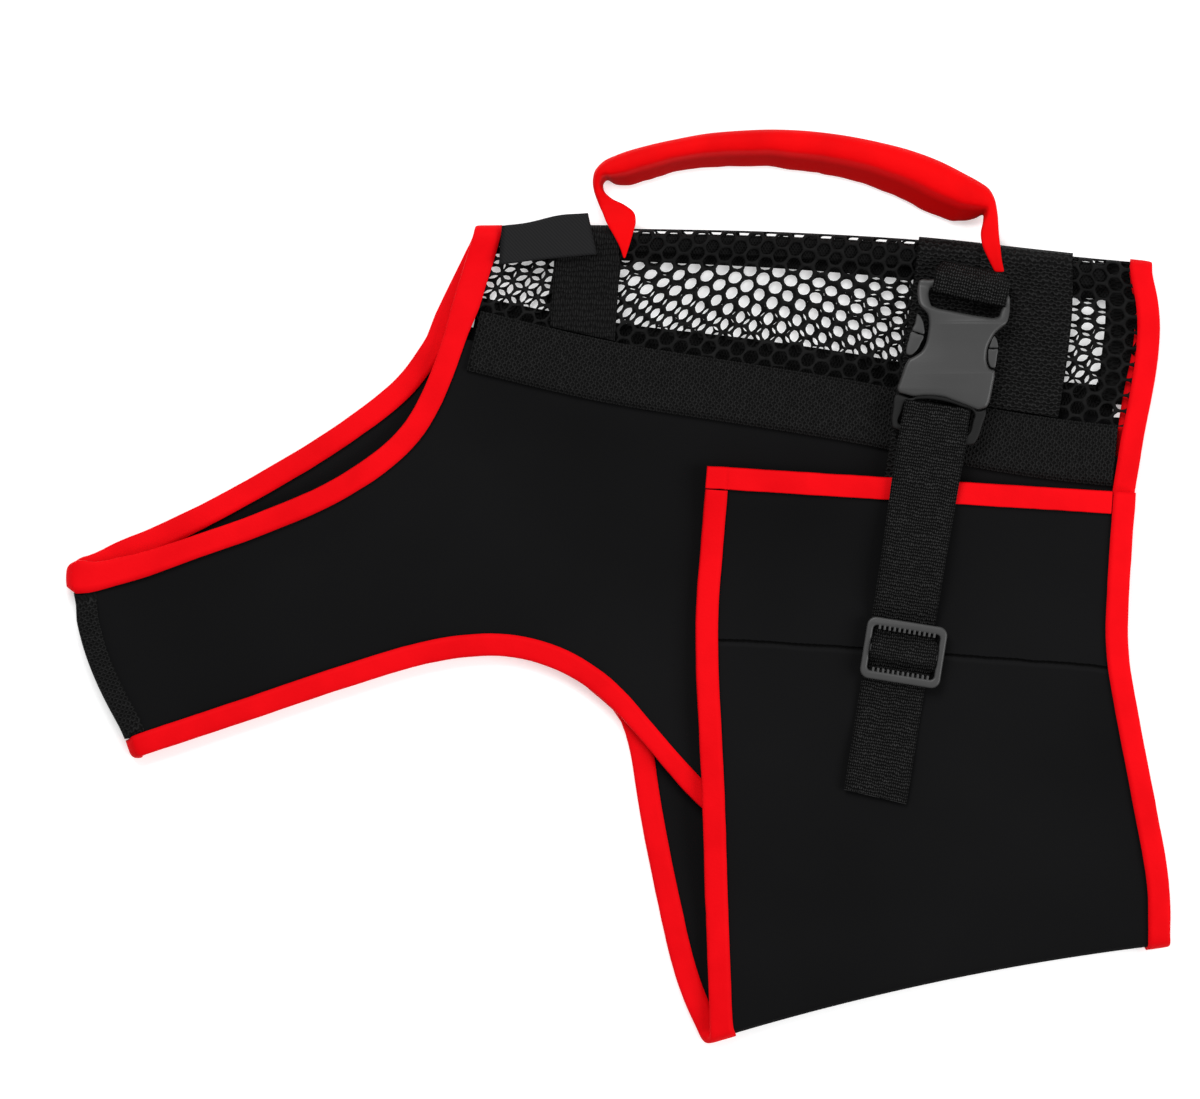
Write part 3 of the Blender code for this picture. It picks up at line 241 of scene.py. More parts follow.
def softened(node, levels, crease_angle=35, name=None):
    """A fine smooth copy of a node's solid."""
    mesh = nodes[node].data.copy()
    shaped = bmesh.new()
    shaped.from_mesh(mesh)
    bmesh.ops.remove_doubles(shaped, verts=shaped.verts, dist=WELD)
    bmesh.ops.join_triangles(
        shaped, faces=shaped.faces, angle_face_threshold=FLAT_PAIR, angle_shape_threshold=SQUARE_PAIR)
    layers = shaped.edges.layers.float
    hard = layers.get("crease_edge") or layers.new("crease_edge")
    for edge in shaped.edges:
        edge.smooth = True
        if len(edge.link_faces) == 2 and edge.calc_face_angle() > radians(crease_angle):
            edge[hard] = 1.0
    shaped.to_mesh(mesh)
    shaped.free()
    thing = placed(name or node + "_cloth", mesh)
    fine = thing.modifiers.new("fine", "SUBSURF")
    fine.levels = fine.render_levels = levels
    apply_modifiers(thing)
    for layer in list(thing.data.attributes):
        if layer.name in ("crease_edge", "sharp_face", "sharp_edge"):
            thing.data.attributes.remove(layer)
    thing.data.shade_smooth()
    thing.data.set_sharp_from_angle(angle=SHARP)
    return thing


def segment_distance(points, crease):
    start = np.array([crease.x1, crease.y1])
    span = np.array([crease.x2, crease.y2]) - start
    share = np.clip((points - start) @ span / (span @ span), 0, 1)
    return np.linalg.norm(points - start - share[:, None] * span, axis=1)


# Materials

def grey(value):
    return (value, value, value)


class Nodes:
    """Short hand for building one material's nodes."""

    def __init__(self, name, colour, roughness):
        self.material = bpy.data.materials.new(name)
        self.material.use_nodes = True
        self.tree = self.material.node_tree
        self.shader = self.tree.nodes["Principled BSDF"]
        self.shader.inputs["Base Color"].default_value = (*colour, 1)
        self.shader.inputs["Roughness"].default_value = roughness

    def node(self, kind, **values):
        made = self.tree.nodes.new(kind)
        for name, value in values.items():
            setattr(made, name, value)
        return made

    def link(self, out, into):
        self.tree.links.new(out, into)

    def math(self, operation, *values):
        made = self.node("ShaderNodeMath", operation=operation)
        for socket, value in zip(made.inputs, values):
            if isinstance(value, (int, float)):
                socket.default_value = value
            else:
                self.link(value, socket)
        return made.outputs[0]

    def times(self, a, b):
        return self.math("MULTIPLY", a, b)

    def plus(self, a, b):
        return self.math("ADD", a, b)

    def minus(self, a, b):
        return self.math("SUBTRACT", a, b)

    def place(self):
        return self.node("ShaderNodeTexCoord").outputs["Object"]

    def split(self, vector):
        made = self.node("ShaderNodeSeparateXYZ")
        self.link(vector, made.inputs[0])
        return made.outputs

    def noise(self, vector, scale, detail):
        made = self.node("ShaderNodeTexNoise")
        made.inputs["Scale"].default_value = scale
        made.inputs["Detail"].default_value = detail
        self.link(vector, made.inputs["Vector"])
        return made.outputs["Fac"]

    def ramp(self, value, stops):
        made = self.node("ShaderNodeValToRGB")
        for i, (at, colour) in enumerate(stops):
            stop = made.color_ramp.elements[i] if i < 2 else made.color_ramp.elements.new(at)
            stop.position = at
            stop.color = (*colour, 1)
        self.link(value, made.inputs[0])
        return made.outputs[0]

    def bump(self, height, strength, distance, after=None):
        made = self.node("ShaderNodeBump")
        made.inputs["Strength"].default_value = strength
        made.inputs["Distance"].default_value = distance
        self.link(height, made.inputs["Height"])
        if after is not None:
            self.link(after, made.inputs["Normal"])
        return made.outputs["Normal"]

    def mix(self, share, first, second):
        """The first colour, replaced by the second by a share."""
        made = self.node("ShaderNodeMix", data_type="RGBA")
        self.link(share, made.inputs[0])
        self.link(first, made.inputs[6])
        made.inputs[7].default_value = (*second, 1)
        return made.outputs[2]

    def knit(self, place, scale, strength, distance):
        """Relief of a very fine knit."""
        made = self.node("ShaderNodeTexVoronoi")
        made.inputs["Scale"].default_value = scale
        self.link(place, made.inputs["Vector"])
        return self.bump(made.outputs["Distance"], strength, distance)

    def finished(self, colour, normal, shine):
        self.link(colour, self.shader.inputs["Base Color"])
        self.link(normal, self.shader.inputs["Normal"])
        self.shader.inputs["Specular IOR Level"].default_value = shine
        return self.material


# The flap's stitched line, in metres: a groove in painted shade, with a painted highlight on a small
# roll below it.
SEAM_ABOVE = 0.005  # it lies on the flap's outside alone, which is above this,
SEAM_REAR_OF = 0.0345  # and starts at the flap's front binding
STITCH = 0.0026
SEAM_WANDER = 0.0016
GROOVE_HALF = 0.0006
ROLL_HALF = 0.0011
ROLL_BELOW = 0.0017
# painted shade in the groove, and a painted highlight on the roll below it
GROOVE_PAINTED_SHADE = grey(0.0009)
ROLL_PAINTED_HIGHLIGHT = (0.009, 0.009, 0.0095)


def stitched_line(made, place, seam):
    """The groove's painted shade and the roll's painted highlight, each 0 to 1, from the line's y as a
    curve of x.
    """
    x, y, z = made.split(place)
    line = made.times(x, made.plus(made.times(x, seam[0]), seam[1]))
    off = made.minus(y, made.plus(line, seam[2]))
    wander = made.minus(made.noise(place, 70, 1), 0.5)
    off = made.plus(off, made.times(wander, SEAM_WANDER))
    rear = made.math("GREATER_THAN", x, SEAM_REAR_OF)
    upper = made.times(made.math("GREATER_THAN", z, SEAM_ABOVE), rear)
    stitch = made.times(made.math("SINE", made.times(x, 2 * pi / STITCH)), 0.1)
    near = made.times(made.math("ABSOLUTE", off), 1 / GROOVE_HALF)
    groove = made.math("MAXIMUM", made.minus(made.plus(1.05, stitch), near), 0.0)
    groove = made.times(made.math("MINIMUM", groove, 1.0), upper)
    below = made.times(made.math("ABSOLUTE", made.plus(off, ROLL_BELOW)), 1 / ROLL_HALF)
    roll_highlight = made.times(made.math("MAXIMUM", made.minus(1.0, below), 0.0), upper)
    return groove, roll_highlight


def neoprene_material(name, seam=None):
    """Matte black jersey over foam: a very fine knit and slight tone changes.

    A seam is the curve of a stitched line across the piece's upper side: y from x, in metres.
    Its groove takes painted shade, and the roll below it a painted highlight.
    """
    made = Nodes(name, (0.0038, 0.0038, 0.004), 0.8)
    place = made.place()
    dark, light = (0.0031, 0.0031, 0.0033), (0.0046, 0.0046, 0.0049)
    tone = made.ramp(made.noise(place, 9, 3), [(0.3, dark), (0.7, light)])
    relief = made.knit(place, 1700, 0.35, 0.0001)
    relief = made.bump(made.noise(place, 60, 3), 0.15, 0.0006, relief)
    if seam is not None:
        groove, roll_highlight = stitched_line(made, place, seam)
        # painted shade along the groove, and a painted highlight on the roll below it
        tone = made.mix(groove, tone, GROOVE_PAINTED_SHADE)
        tone = made.mix(made.times(roll_highlight, 0.35), tone, ROLL_PAINTED_HIGHLIGHT)
        relief = made.bump(made.times(groove, -1.0), 1.0, 0.0012, relief)
    return made.finished(tone, relief, 0.05)


def binding_material(name, bright, dark, knit_size=900, under=None):
    """Smooth knitted tape: fine ribs and slight tone changes, with painted shade, a deeper tone, where
    the piece turns under.
    """
    made = Nodes(name, bright, 0.65)
    place = made.place()
    tone = made.ramp(made.noise(place, 45, 3), [(0.3, dark), (0.62, bright)])
    if under is not None:
        # painted shade: the under colour where the points are marked as the grip's shaded underside
        painted_shade_node = made.node("ShaderNodeAttribute", attribute_name="painted_shade_under")
        tone = made.mix(painted_shade_node.outputs["Fac"], tone, under)
    relief = made.knit(place, knit_size, 0.3, 0.00015)
    return made.finished(tone, made.bump(made.noise(place, 130, 2), 0.25, 0.0006, relief), 0.04)


SEALED_GREY = grey(0.03)


def webbing_material(name, pit_shade, yarns, weave, sealed_at=None):
    """Woven webbing with staggered pits in painted shade, from the piece's own map of metres along and
    across it.
    """
    made = Nodes(name, grey(yarns), 0.7)
    long, wide, _ = made.split(made.node("ShaderNodeUVMap", uv_map="weave").outputs[0])
    place = made.place()
    wander = made.times(made.minus(made.noise(place, 260, 2), 0.5), 0.8)
    v = made.math("DIVIDE", wide, weave.across * MM)
    v = made.plus(v, made.times(wander, 0.3))
    odd = made.times(made.math("FLOORED_MODULO", made.math("FLOOR", v), 2.0), 0.5)
    run = made.plus(made.math("DIVIDE", long, weave.along * MM), wander)
    rows = made.math("COSINE", made.times(made.plus(run, odd), 2 * pi))
    rows = made.plus(made.times(rows, 0.5), 0.5)
    ribs = made.math("ABSOLUTE", made.math("SINE", made.times(v, pi)))
    ribs = made.math("POWER", ribs, weave.narrow)
    pit = made.times(made.math("POWER", rows, weave.short), ribs)
    line = made.math("COSINE", made.times(run, 4 * pi))
    line = made.plus(made.times(line, 0.5), 0.5)
    pit = made.plus(pit, made.times(made.math("POWER", line, 3), weave.rows))
    uneven = made.plus(made.times(made.noise(place, 420, 2), 1.6), 0.2)
    pit = made.times(pit, uneven)
    # the pits take painted shade, darker than the yarns
    tone = made.ramp(pit, [(0.04, grey(yarns)), (0.31, grey(pit_shade))])
    if sealed_at is not None:
        past = made.math("GREATER_THAN", long, sealed_at * MM)
        tone = made.mix(past, tone, SEALED_GREY)
    return made.finished(tone, made.bump(made.times(pit, -1.0), 0.8, 0.0004), 0.1)


def net_material():
    made = Nodes("net_black", grey(0.004), 0.65)
    place = made.place()
    tone = made.ramp(made.noise(place, 300, 2), [(0.35, grey(0.002)), (0.7, grey(0.0055))])
    return made.finished(tone, made.bump(made.noise(place, 1500, 2), 0.5, 0.0002), 0.08)


def plastic_material(name, colour, roughness, shine=0.35):
    made = Nodes(name, colour, roughness)
    place = made.place()
    light = tuple(c * 1.15 for c in colour)
    tone = made.ramp(made.noise(place, 70, 2), [(0.3, colour), (0.8, light)])
    return made.finished(tone, made.bump(made.noise(place, 1400, 2), 0.12, 0.0002), shine)


def label_material():
    """Plain damask: a fine twill."""
    made = Nodes("label_black", (0.009, 0.009, 0.0095), 0.6)
    wave = made.node("ShaderNodeTexWave", wave_type="BANDS", bands_direction="DIAGONAL")
    wave.inputs["Scale"].default_value = 420
    wave.inputs["Distortion"].default_value = 0.6
    made.link(made.place(), wave.inputs["Vector"])
    dark, light = (0.0055, 0.0055, 0.006), (0.0095, 0.0095, 0.01)
    tone = made.ramp(wave.outputs["Fac"], [(0.2, dark), (0.8, light)])
    return made.finished(tone, made.bump(wave.outputs["Fac"], 0.3, 0.0001), 0.1)


RED = binding_material("binding_red", (0.68, 0.0012, 0.0042), (0.6, 0.0005, 0.003))
# the under colour is painted shade for the grip's underside
HANDLE_RED = binding_material(
    "handle_red", (0.67, 0.0008, 0.002), (0.58, 0.0004, 0.0015), 700, under=(0.33, 0.0002, 0.0004))
STRAP_BLACK = webbing_material(
    "strap_black", 0.0003, 0.029, Weave(2.6, 0.85, 0.9, 1.2, 1.0), 158.6)
WEBBING_BLACK = webbing_material(
    "webbing_black", 0.0004, 0.0115, Weave(4.4, 0.95, 0.6, 1.4, 0.5))
REAR_BLACK = webbing_material(
    "rear_webbing_black", 0.0004, 0.0138, Weave(3.0, 1.4, 1.5, 0.6, 0.8))
SEAM_BLACK = webbing_material(
    "seam_webbing_black", 0.0006, 0.0115, Weave(2.4, 1.2, 1.3, 0.8, 0.5))
# the webbings under the net, darkened almost to black as painted shade
UNDER_NET_PAINTED_SHADE = webbing_material(
    "webbing_painted_shade_under_net", 0.0003, 0.0016, Weave(1.3, 1.5, 1.7, 0.7, 0.1))
NET = net_material()
BUCKLE = plastic_material("buckle_dark_grey", grey(0.028), 0.42)
# a darker, duller copy of the buckle plastic: painted shade for the plug's frame
BUCKLE_PAINTED_SHADE = plastic_material("plug_painted_shade_grey", grey(0.006), 0.55, 0.15)
SLIDER = plastic_material("slider_dark_grey", grey(0.031), 0.42)
LABEL = label_material()


# Panels

BELLY_FRONT = 4  # the belly panel's front leg lies above this
CREASE_SHARE = 0.8  # how much of a crease's depth is taken
CREASE_REACH = 1  # how far ridges may rise over the solid


def soft_wander(points, size, seed):
    """Slow uneven rise and fall, in -1 to 1, for each point."""
    return np.array([noise.noise(Vector((p[0] / size, p[1] / size, seed))) for p in points])


def panel(node, material):
    thing = softened(node, 3)
    points = points_of(thing)
    front = points[:, 2] > BELLY_FRONT if node == "belly_panel" else np.ones(len(points), bool)
    drop = np.zeros(len(points))
    for crease in CREASES[node]:
        drop += crease.depth * bell(segment_distance(points[:, :2], crease), crease.width)
    low, high = points.min(axis=0), points.max(axis=0)
    points[:, 2] -= np.where(front, drop * CREASE_SHARE, 0)
    points[:, 2] = np.clip(points[:, 2], low[2], high[2] + CREASE_REACH)
    move_points(thing, points)
    return dressed(thing, material, node)


seam_spots = to_world([(s.x, s.y, 0) for s in FLAP_SEAM])
near_panel = panel("near_side_panel", neoprene_material("neoprene_black"))
far_panel = panel("far_side_panel", bpy.data.materials["neoprene_black"])
belly = panel("belly_panel", neoprene_material(
    "neoprene_black_stitched", np.polyfit(seam_spots[:, 0], seam_spots[:, 1], 2).tolist()))


# Bindings

NECK_FRONT = -167  # the neck's folded tip lies before this
NECK_END = -221  # and ends here, with its lower corner from this height down
NECK_CORNER = 3
NECK_MIDDLE = [Spot(-68.6, 95), Spot(-61.6, 114.6), Spot(-51.6, 142.6)]  # beside the net
NECK_WIDER_FROM = 100  # the neck binding widens above this
TIP_AT = (-197.5, -67.0)  # the arm bindings' joined tip, and which way its cloth runs
TIP_RUN = (0.95, 0.314)
TIP_REAR = -170  # the tip lies before this
TIP_INSIDE = 5.35  # its inner edge, across from TIP_AT
TIP_ACROSS = [-3.4, -2.7, -1.2, 0, TIP_INSIDE, 7]
TIP_DRAWN = [3.8, 2.6, 1.9, 2.2, 3.3, 3.5]  # how far it is drawn in at each of these
ARM_STRETCH = [Spot(-27.4, -31.8), Spot(-5.8, -45.2), Spot(9.4, -61.8), Spot(32.4, -88)]
FAR_ARM_OUT = (-2.0, -52.0)  # where the far binding comes out below the near one
MITRE_X = 42.9  # where the flap's two bindings meet, at MITRE_Y, and its lean
MITRE_Y = 40
MITRE_LEAN = 0.03


def neck_shape(points):
    """Rounds the folded tip, and widens the band beside the net."""
    at, *values = zip(*NECK_TIP)
    middle, new_middle, swell = (np.interp(points[:, 0], at, value) for value in values)
    moved = new_middle + (points[:, 1] - middle) * swell
    points[:, 1] = np.where(points[:, 0] < NECK_FRONT, moved, points[:, 1])
    corner = np.clip((NECK_CORNER - points[:, 1]) / 5, 0, 1) ** 2
    points[:, 0] += 1.1 * corner * bell(points[:, 0] - NECK_END, 3.5)
    band = np.interp(points[:, 1], [s.y for s in NECK_MIDDLE], [s.x for s in NECK_MIDDLE])
    wide = 0.2 * np.clip((points[:, 1] - NECK_WIDER_FROM) / 10, 0, 1)
    points[:, 0] += (points[:, 0] - band) * wide


def arm_tip(points):
    """Draws the arm bindings' square tip in, with a round lower corner."""
    run = np.array(TIP_RUN)
    rel = points[:, :2] - np.array(TIP_AT)
    along, across = rel @ run, rel @ np.array([-run[1], run[0]])
    face = 0.4 + (TIP_INSIDE - across) * 0.21
    shift = np.interp(across, TIP_ACROSS, TIP_DRAWN)
    points[:, :2] += run * (shift * bell(along - face, 4) * (points[:, 0] < TIP_REAR))[:, None]


def pinched(points):
    """Narrows the near arm binding towards its edge where it passes under the flap."""
    line = Line(ARM_STRETCH)
    along, across = line.locate(points[:, :2])
    ahead = unit(line.at(along + 1) - line.at(along - 1))
    inside = np.column_stack([-ahead[:, 1], ahead[:, 0]])
    stretch = bell(along - line.length * 0.6, 26)
    points[:, :2] -= inside * (1.3 * stretch * np.clip((across - 1) / 6, 0, 1))[:, None]


def drawn_out(points):
    """Moves the far arm binding towards the vest where it comes out."""
    away = np.linalg.norm(points[:, :2] - np.array(FAR_ARM_OUT), axis=1)
    points[:, :2] += (1.2 * bell(away, 9))[:, None]


def mitred(points):
    """The line where the flap's two bindings meet."""
    points[:, 2] -= 0.35 * bell(points[:, 0] - MITRE_X - MITRE_LEAN * (points[:, 1] - MITRE_Y), 0.5)


BINDINGS = {
    "neck_binding": [neck_shape], "near_arm_binding": [arm_tip, pinched],
    "far_arm_binding": [arm_tip, drawn_out], "rear_binding": [], "flap_top_binding": [mitred],
}
for name, shapes in BINDINGS.items():
    thing = softened(name, 4 if name == "flap_top_binding" else 2, crease_angle=80)
    points = points_of(thing)
    wander = soft_wander(points, 9, 3.1) * 0.14 + soft_wander(points, 3.2, 7.7) * 0.05
    normals = np.zeros(len(points) * 3)
    thing.data.vertices.foreach_get("normal", normals)
    points += normals.reshape(-1, 3) * wander[:, None]
    for shape in shapes:
        shape(points)
    points[:, 2] = np.maximum(points[:, 2], 0)
    move_points(thing, points)
    dressed(thing, RED, name)


# Net

class BackNet:
    """The net from the near seam over the spine to the far seam."""

    def __init__(self):
        self.near = Line(NEAR_SEAM)
        self.far = Line(FAR_SEAM)
        self.spine = Line(SPINE)

    def section(self, share):
        top = self.spine.at(share * self.spine.length)
        near = self.near.at(share * self.near.length)
        far = self.far.at(share * self.far.length)
        down = unit(near - top)
        crest = top + down * (SPINE_RADIUS + NET_HALF)
        bow = NET_REAR_BOW * share ** 6
        near_leg = np.linalg.norm(crest - near)
        points = []

        def swelling(part):
            part = part ** NET_BOW_LEAN
            return 4 * part * (1 - part) * bow

        def near_point(away, height):
            part = away / near_leg
            spot = near + (crest - near) * part
            points.append((spot[0] + swelling(part), spot[1], height))

        near_point(0, NEAR_SEAM_NET)
        near_point(NET_FIRST_ROW, NEAR_SEAM_NET)
        for row in NET_ROWS:
            near_point(NET_FIRST_ROW + (near_leg - NET_FIRST_ROW) * row.share, row.height)
        middle = (SPINE_HEIGHT + FAR_NET_HEIGHT) / 2
        for step in range(1, ROLL_STEPS):
            angle = pi / 2 - pi * step / ROLL_STEPS
            spot = crest - down * SPINE_RADIUS * cos(angle)
            points.append((spot[0], spot[1], middle + SPINE_RADIUS * sin(angle)))
        far_leg = np.linalg.norm(far - crest)
        for away in np.linspace(0, far_leg, 6):
            part = away / far_leg
            spot = crest + (far - crest) * part
            points.append((spot[0] + swelling(1 - part) * FAR_NET_BOW, spot[1], FAR_NET_HEIGHT))
        return np.array(points)

    def layer(self, far, sections=81, step=0.5, deepest=95):
        """A table of one layer's points: along the spine, and down from its fold in equal steps."""
        fold = 2 + len(NET_ROWS) - 1 + ROLL_STEPS // 2
        down = np.arange(0, deepest, step)
        table, lengths = [], []
        for share in np.linspace(0, 1, sections):
            path = self.section(share)
            path = path[fold:] if far else path[fold::-1]
            reach = np.concatenate([[0], np.cumsum(np.linalg.norm(np.diff(path, axis=0), axis=1))])
            table.append(np.stack([np.interp(down, reach, path[:, i]) for i in range(3)], axis=-1))
            lengths.append(reach[-1])
        return np.array(table), np.array(lengths), step


def on_layer(table, along, down, step, length):
    """Points of a layer at distances along the spine and down from its fold."""
    row = np.clip(along / length, 0, 1) * (len(table) - 1)
    column = np.clip(down / step, 0, table.shape[1] - 1.001)
    r = np.minimum(row.astype(int), len(table) - 2)
    c = np.minimum(column.astype(int), table.shape[1] - 2)
    fr, fc = (row - r)[:, None], (column - c)[:, None]
    low = table[r, c] * (1 - fc) + table[r, c + 1] * fc
    high = table[r + 1, c] * (1 - fc) + table[r + 1, c + 1] * fc
    return low * (1 - fr) + high * fr


NEARBY = 0.6  # how far apart points are taken for a direction on the net


def hex_net(name, net, far, turn, seed):
    """One layer of the hexagonal net, each cell a ring of strands round an open hole."""
    rng = np.random.default_rng(seed)
    table, lengths, step = net.layer(far)
    length = net.spine.length
    step_a = np.array([cos(turn), sin(turn)]) * NET_PITCH
    step_b = np.array([cos(turn + pi / 3), sin(turn + pi / 3)]) * NET_PITCH
    sides = NET_SIDES
    corners = NET_PITCH / 2 / cos(pi / 6)
    angles = turn + pi / 6 + 2 * pi * np.arange(sides) / sides
    spokes = np.column_stack([np.cos(angles), np.sin(angles)])
    odd = np.arange(sides) % 2
    rim_radius = np.where(odd == 0, corners, NET_PITCH / 2)[:, None]
    along_down, lifts, faces = [], [], []
    limit = int(1.3 * length / NET_PITCH)
    for i in range(-limit, limit + 1):
        for j in range(-limit, limit + 1):
            centre = np.array(NET_MEETING) + i * step_a + j * step_b
            if not 0 < centre[0] < length:
                continue
            bottom = np.interp(centre[0] / length, np.linspace(0, 1, len(lengths)), lengths)
            if not -NET_PITCH * 0.3 < centre[1] < bottom - WEBBING / 2 + 2:
                continue
            middle = centre + rng.normal(0, 0.12, 2)
            wide = (NET_PITCH - NET_STRAND) / 2 * (1 + rng.normal(0, 0.025))
            stretch = np.array([1 + rng.normal(0, 0.04), 1.0])
            hole = middle + spokes * stretch * wide * np.where(odd == 0, 1.02, 1.0)[:, None]
            rim = centre + spokes * rim_radius
            first = len(along_down) * sides
            for share, lift in NET_RINGS:
                along_down.append(rim * (1 - share) + hole * share)
                lifts.append(np.full(sides, lift))
            for ring in range(len(NET_RINGS) - 1):
                for k in range(sides):
                    n = (k + 1) % sides
                    a = first + ring * sides
                    faces.append((a + k, a + n, a + n + sides, a + k + sides))
    along_down = np.concatenate(along_down)
    lifts = np.concatenate(lifts)
    along = np.clip(along_down[:, 0], 1.5, length - 1.5)
    down = np.maximum(along_down[:, 1], 0)

    def here(aside, deeper):
        return on_layer(table, along + aside, np.maximum(down + deeper, 0), step, length)

    ahead = here(NEARBY, 0) - here(-NEARBY, 0)
    under = here(0, NEARBY) - here(0, -NEARBY)
    out = unit(np.cross(under, ahead))
    return new_object(name, here(0, 0) + out * lifts[:, None], faces)


net = BackNet()
near_net = dressed(hex_net("back_net_near", net, False, pi / 6, 4), NET, "back_mesh")
far_net = dressed(hex_net("back_net_far", net, True, pi / 6 + NET_TURN, 9), NET, "back_mesh")


# Webbing

def weave_map(thing, along, across):
    """A map named weave from two values for each vertex, in millimetres."""
    layer = thing.data.uv_layers.new(name="weave")
    loops = np.zeros(len(thing.data.loops), int)
    thing.data.loops.foreach_get("vertex_index", loops)
    values = np.column_stack([along[loops], across[loops]]) * MM
    layer.data.foreach_set("uv", values.ravel())


def along_line(line):
    def mapped(points):
        return line.locate(points[:, :2])
    return mapped


def along_axis(start, end):
    start, end = np.array(start, float), np.array(end, float)
    axis = unit(end - start)

    def mapped(points):
        rel = points[:, :2] - start
        return rel @ axis, axis[0] * rel[:, 1] - axis[1] * rel[:, 0]
    return mapped


def over_spine(start, end):
    """Along a strip that runs over the spine: distance down from the fold, on either side."""
    straight = along_axis(start, end)
    middle = (SPINE_HEIGHT + FAR_NET_HEIGHT) / 2

    def mapped(points):
        _, across = straight(points)
        down = -net.spine.locate(points[:, :2])[1] - SPINE_RADIUS - NET_HALF
        turn = np.arctan2(-down, points[:, 2] - middle)
        round_it = np.where(down > 0, down, -SPINE_RADIUS * turn)
        below = (down > 0) & (points[:, 2] < middle)
        return np.where(below, -SPINE_RADIUS * pi - down, round_it), across
    return mapped


def buckle_frame(points):
    """Across and up a point lies from the buckle's middle, in its own frame."""
    rel = points[:, :2] - np.array(BUCKLE_CENTRE)
    up = np.array([-sin(BUCKLE_TILT), cos(BUCKLE_TILT)])
    right = np.array([up[1], -up[0]])
    return rel @ right, rel @ up, right


# Each webbing's own changes, beyond its solid.

def seam_end(points, along, across):
    """Runs the near seam webbing out under the neck binding."""
    points[:, :2] += np.array([-0.97, 0.22]) * (2.6 * np.clip(1 - along / 16, 0, 1))[:, None]


def spine_band(points, along, across):
    """Narrows the webbing in the fold, and runs it out at the rear."""
    depth = -net.spine.locate(points[:, :2])[1]
    points[:, 1] -= (4 + (depth - 4) * np.where(depth < 4, 0.86, 0.7)) - depth
    points[:, 0] += 2.6 * np.clip((along - along.max() + 8) / 8, 0, 1)


def behind_near_part(points, along, across):
    """Brings the front cross webbing's far part behind its near part."""
    points[:, 0] += np.interp(points[:, 1], [98, 135], [9.6, 3]) * (points[:, 2] < 5)


def up_to_anchor(points, along, across):
    points[:, 0] -= 0.9 * (across < -15)


def scalloped(points, along, across):
    """Gives the chest tape its wavy outer edge, and tucks both its ends under the bindings."""
    points[:, 0] -= np.clip((-across - 1) / 2, 0, 1) * 0.3 * np.abs(np.sin(along * pi / 2.6))
    end = np.clip((along - along.max() + 5) / 5, 0, 1)
    start = np.clip(1 - along / 6, 0, 1)
    points[:, :2] += np.array([0.22, -0.93]) * (end * 3.2)[:, None]
    points[:, :2] += np.array([0.9, 0.5]) * start[:, None]
    points[:, 2] -= 1.1 * np.clip(np.maximum(end, start) * 2 - 0.6, 0, 1)


def over_the_bar(points, along, across):
    """Widens the buckle's loop where it lies on the bar."""
    sideways, _, right = buckle_frame(points)
    over = np.clip((points[:, 2] - 14) / 3.5, 0, 1)
    points[:, :2] += right * (over * np.interp(sideways, [-11.3, 14.1], [-2.4, 3.4]))[:, None]


def strap_run(points, along, across):
    """Lets the strap wander from its straight line, follow the slider and end a little askew."""
    wide = 0.06 * bell(along - 22, 30)
    aside = np.interp(along, [0, 30, 80], [-1.4, -1.4, -1.15])
    in_slider = np.exp(-((along - SLIDER_AT) / 9.5) ** 6)
    aside += (SLIDER_ASIDE - aside + across * 0.04) * in_slider
    points[:, :2] += STRAP_RIGHT * (aside + across * wide)[:, None]
    end = np.clip((along - 130) / 30, 0, 1)
    points[:, :2] += STRAP_RUN * (end * (across / 12.7 * 0.95 - 0.25))[:, None]


def hem_band(points, along, across):
    """Widens the rear hem tape inwards and draws both its ends in."""
    points[:, 0] += 2.2 * (across < 0)
    points[:, 1] -= 8 * np.clip((95 - points[:, 1]) / 14, 0, 1)
    points[:, 1] += 3.5 * np.clip((points[:, 1] - 115) / 10, 0, 1)


STRAP_RUN = unit(np.array(STRAP_END) - np.array(STRAP_TOP))
STRAP_RIGHT = np.array([-STRAP_RUN[1], STRAP_RUN[0]])
CHEST_SEAM = [Spot(-217.8, -8), Spot(-210.2, -35.4), Spot(-192.5, -68.4)]
WEBBINGS = {
    "near_seam_webbing": (along_line(net.near), SEAM_BLACK, seam_end),
    "far_seam_webbing": (along_line(net.far), UNDER_NET_PAINTED_SHADE, None),
    "spine_webbing": (along_line(net.spine), UNDER_NET_PAINTED_SHADE, spine_band),
    "front_cross_webbing": (over_spine((-12, 140), (-14, 98)), WEBBING_BLACK, behind_near_part),
    "rear_cross_webbing": (over_spine((163, 134), (156, 66)), REAR_BLACK, up_to_anchor),
    "buckle_anchor_webbing": (over_spine((131, 138), (120, 66)), REAR_BLACK, None),
    "buckle_loop": (along_axis((139.6, 123.8), BUCKLE_CENTRE), STRAP_BLACK, over_the_bar),
    "strap": (along_axis(STRAP_TOP, STRAP_END), STRAP_BLACK, strap_run),
    "rear_hem_tape": (along_axis((195, 75), (199, 130)), UNDER_NET_PAINTED_SHADE, hem_band),
    "chest_tape": (along_line(Line(CHEST_SEAM)), SEAM_BLACK, scalloped),
}
for name, (mapping, material, shape) in WEBBINGS.items():
    thing = softened(name, 3, crease_angle=50, name=name + "_woven")
    points = points_of(thing)
    along, across = mapping(points)
    weave_map(thing, along, across)
    uneven = np.array([noise.noise(Vector((a / 6, len(name), 0.5))) for a in along])
    points[:, 2] += 0.12 * uneven * (np.abs(across) > 8)
    if shape is not None:
        shape(points, along, across)
    points[:, 2] = np.maximum(points[:, 2], 0)
    move_points(thing, points)
    dressed(thing, material, name)

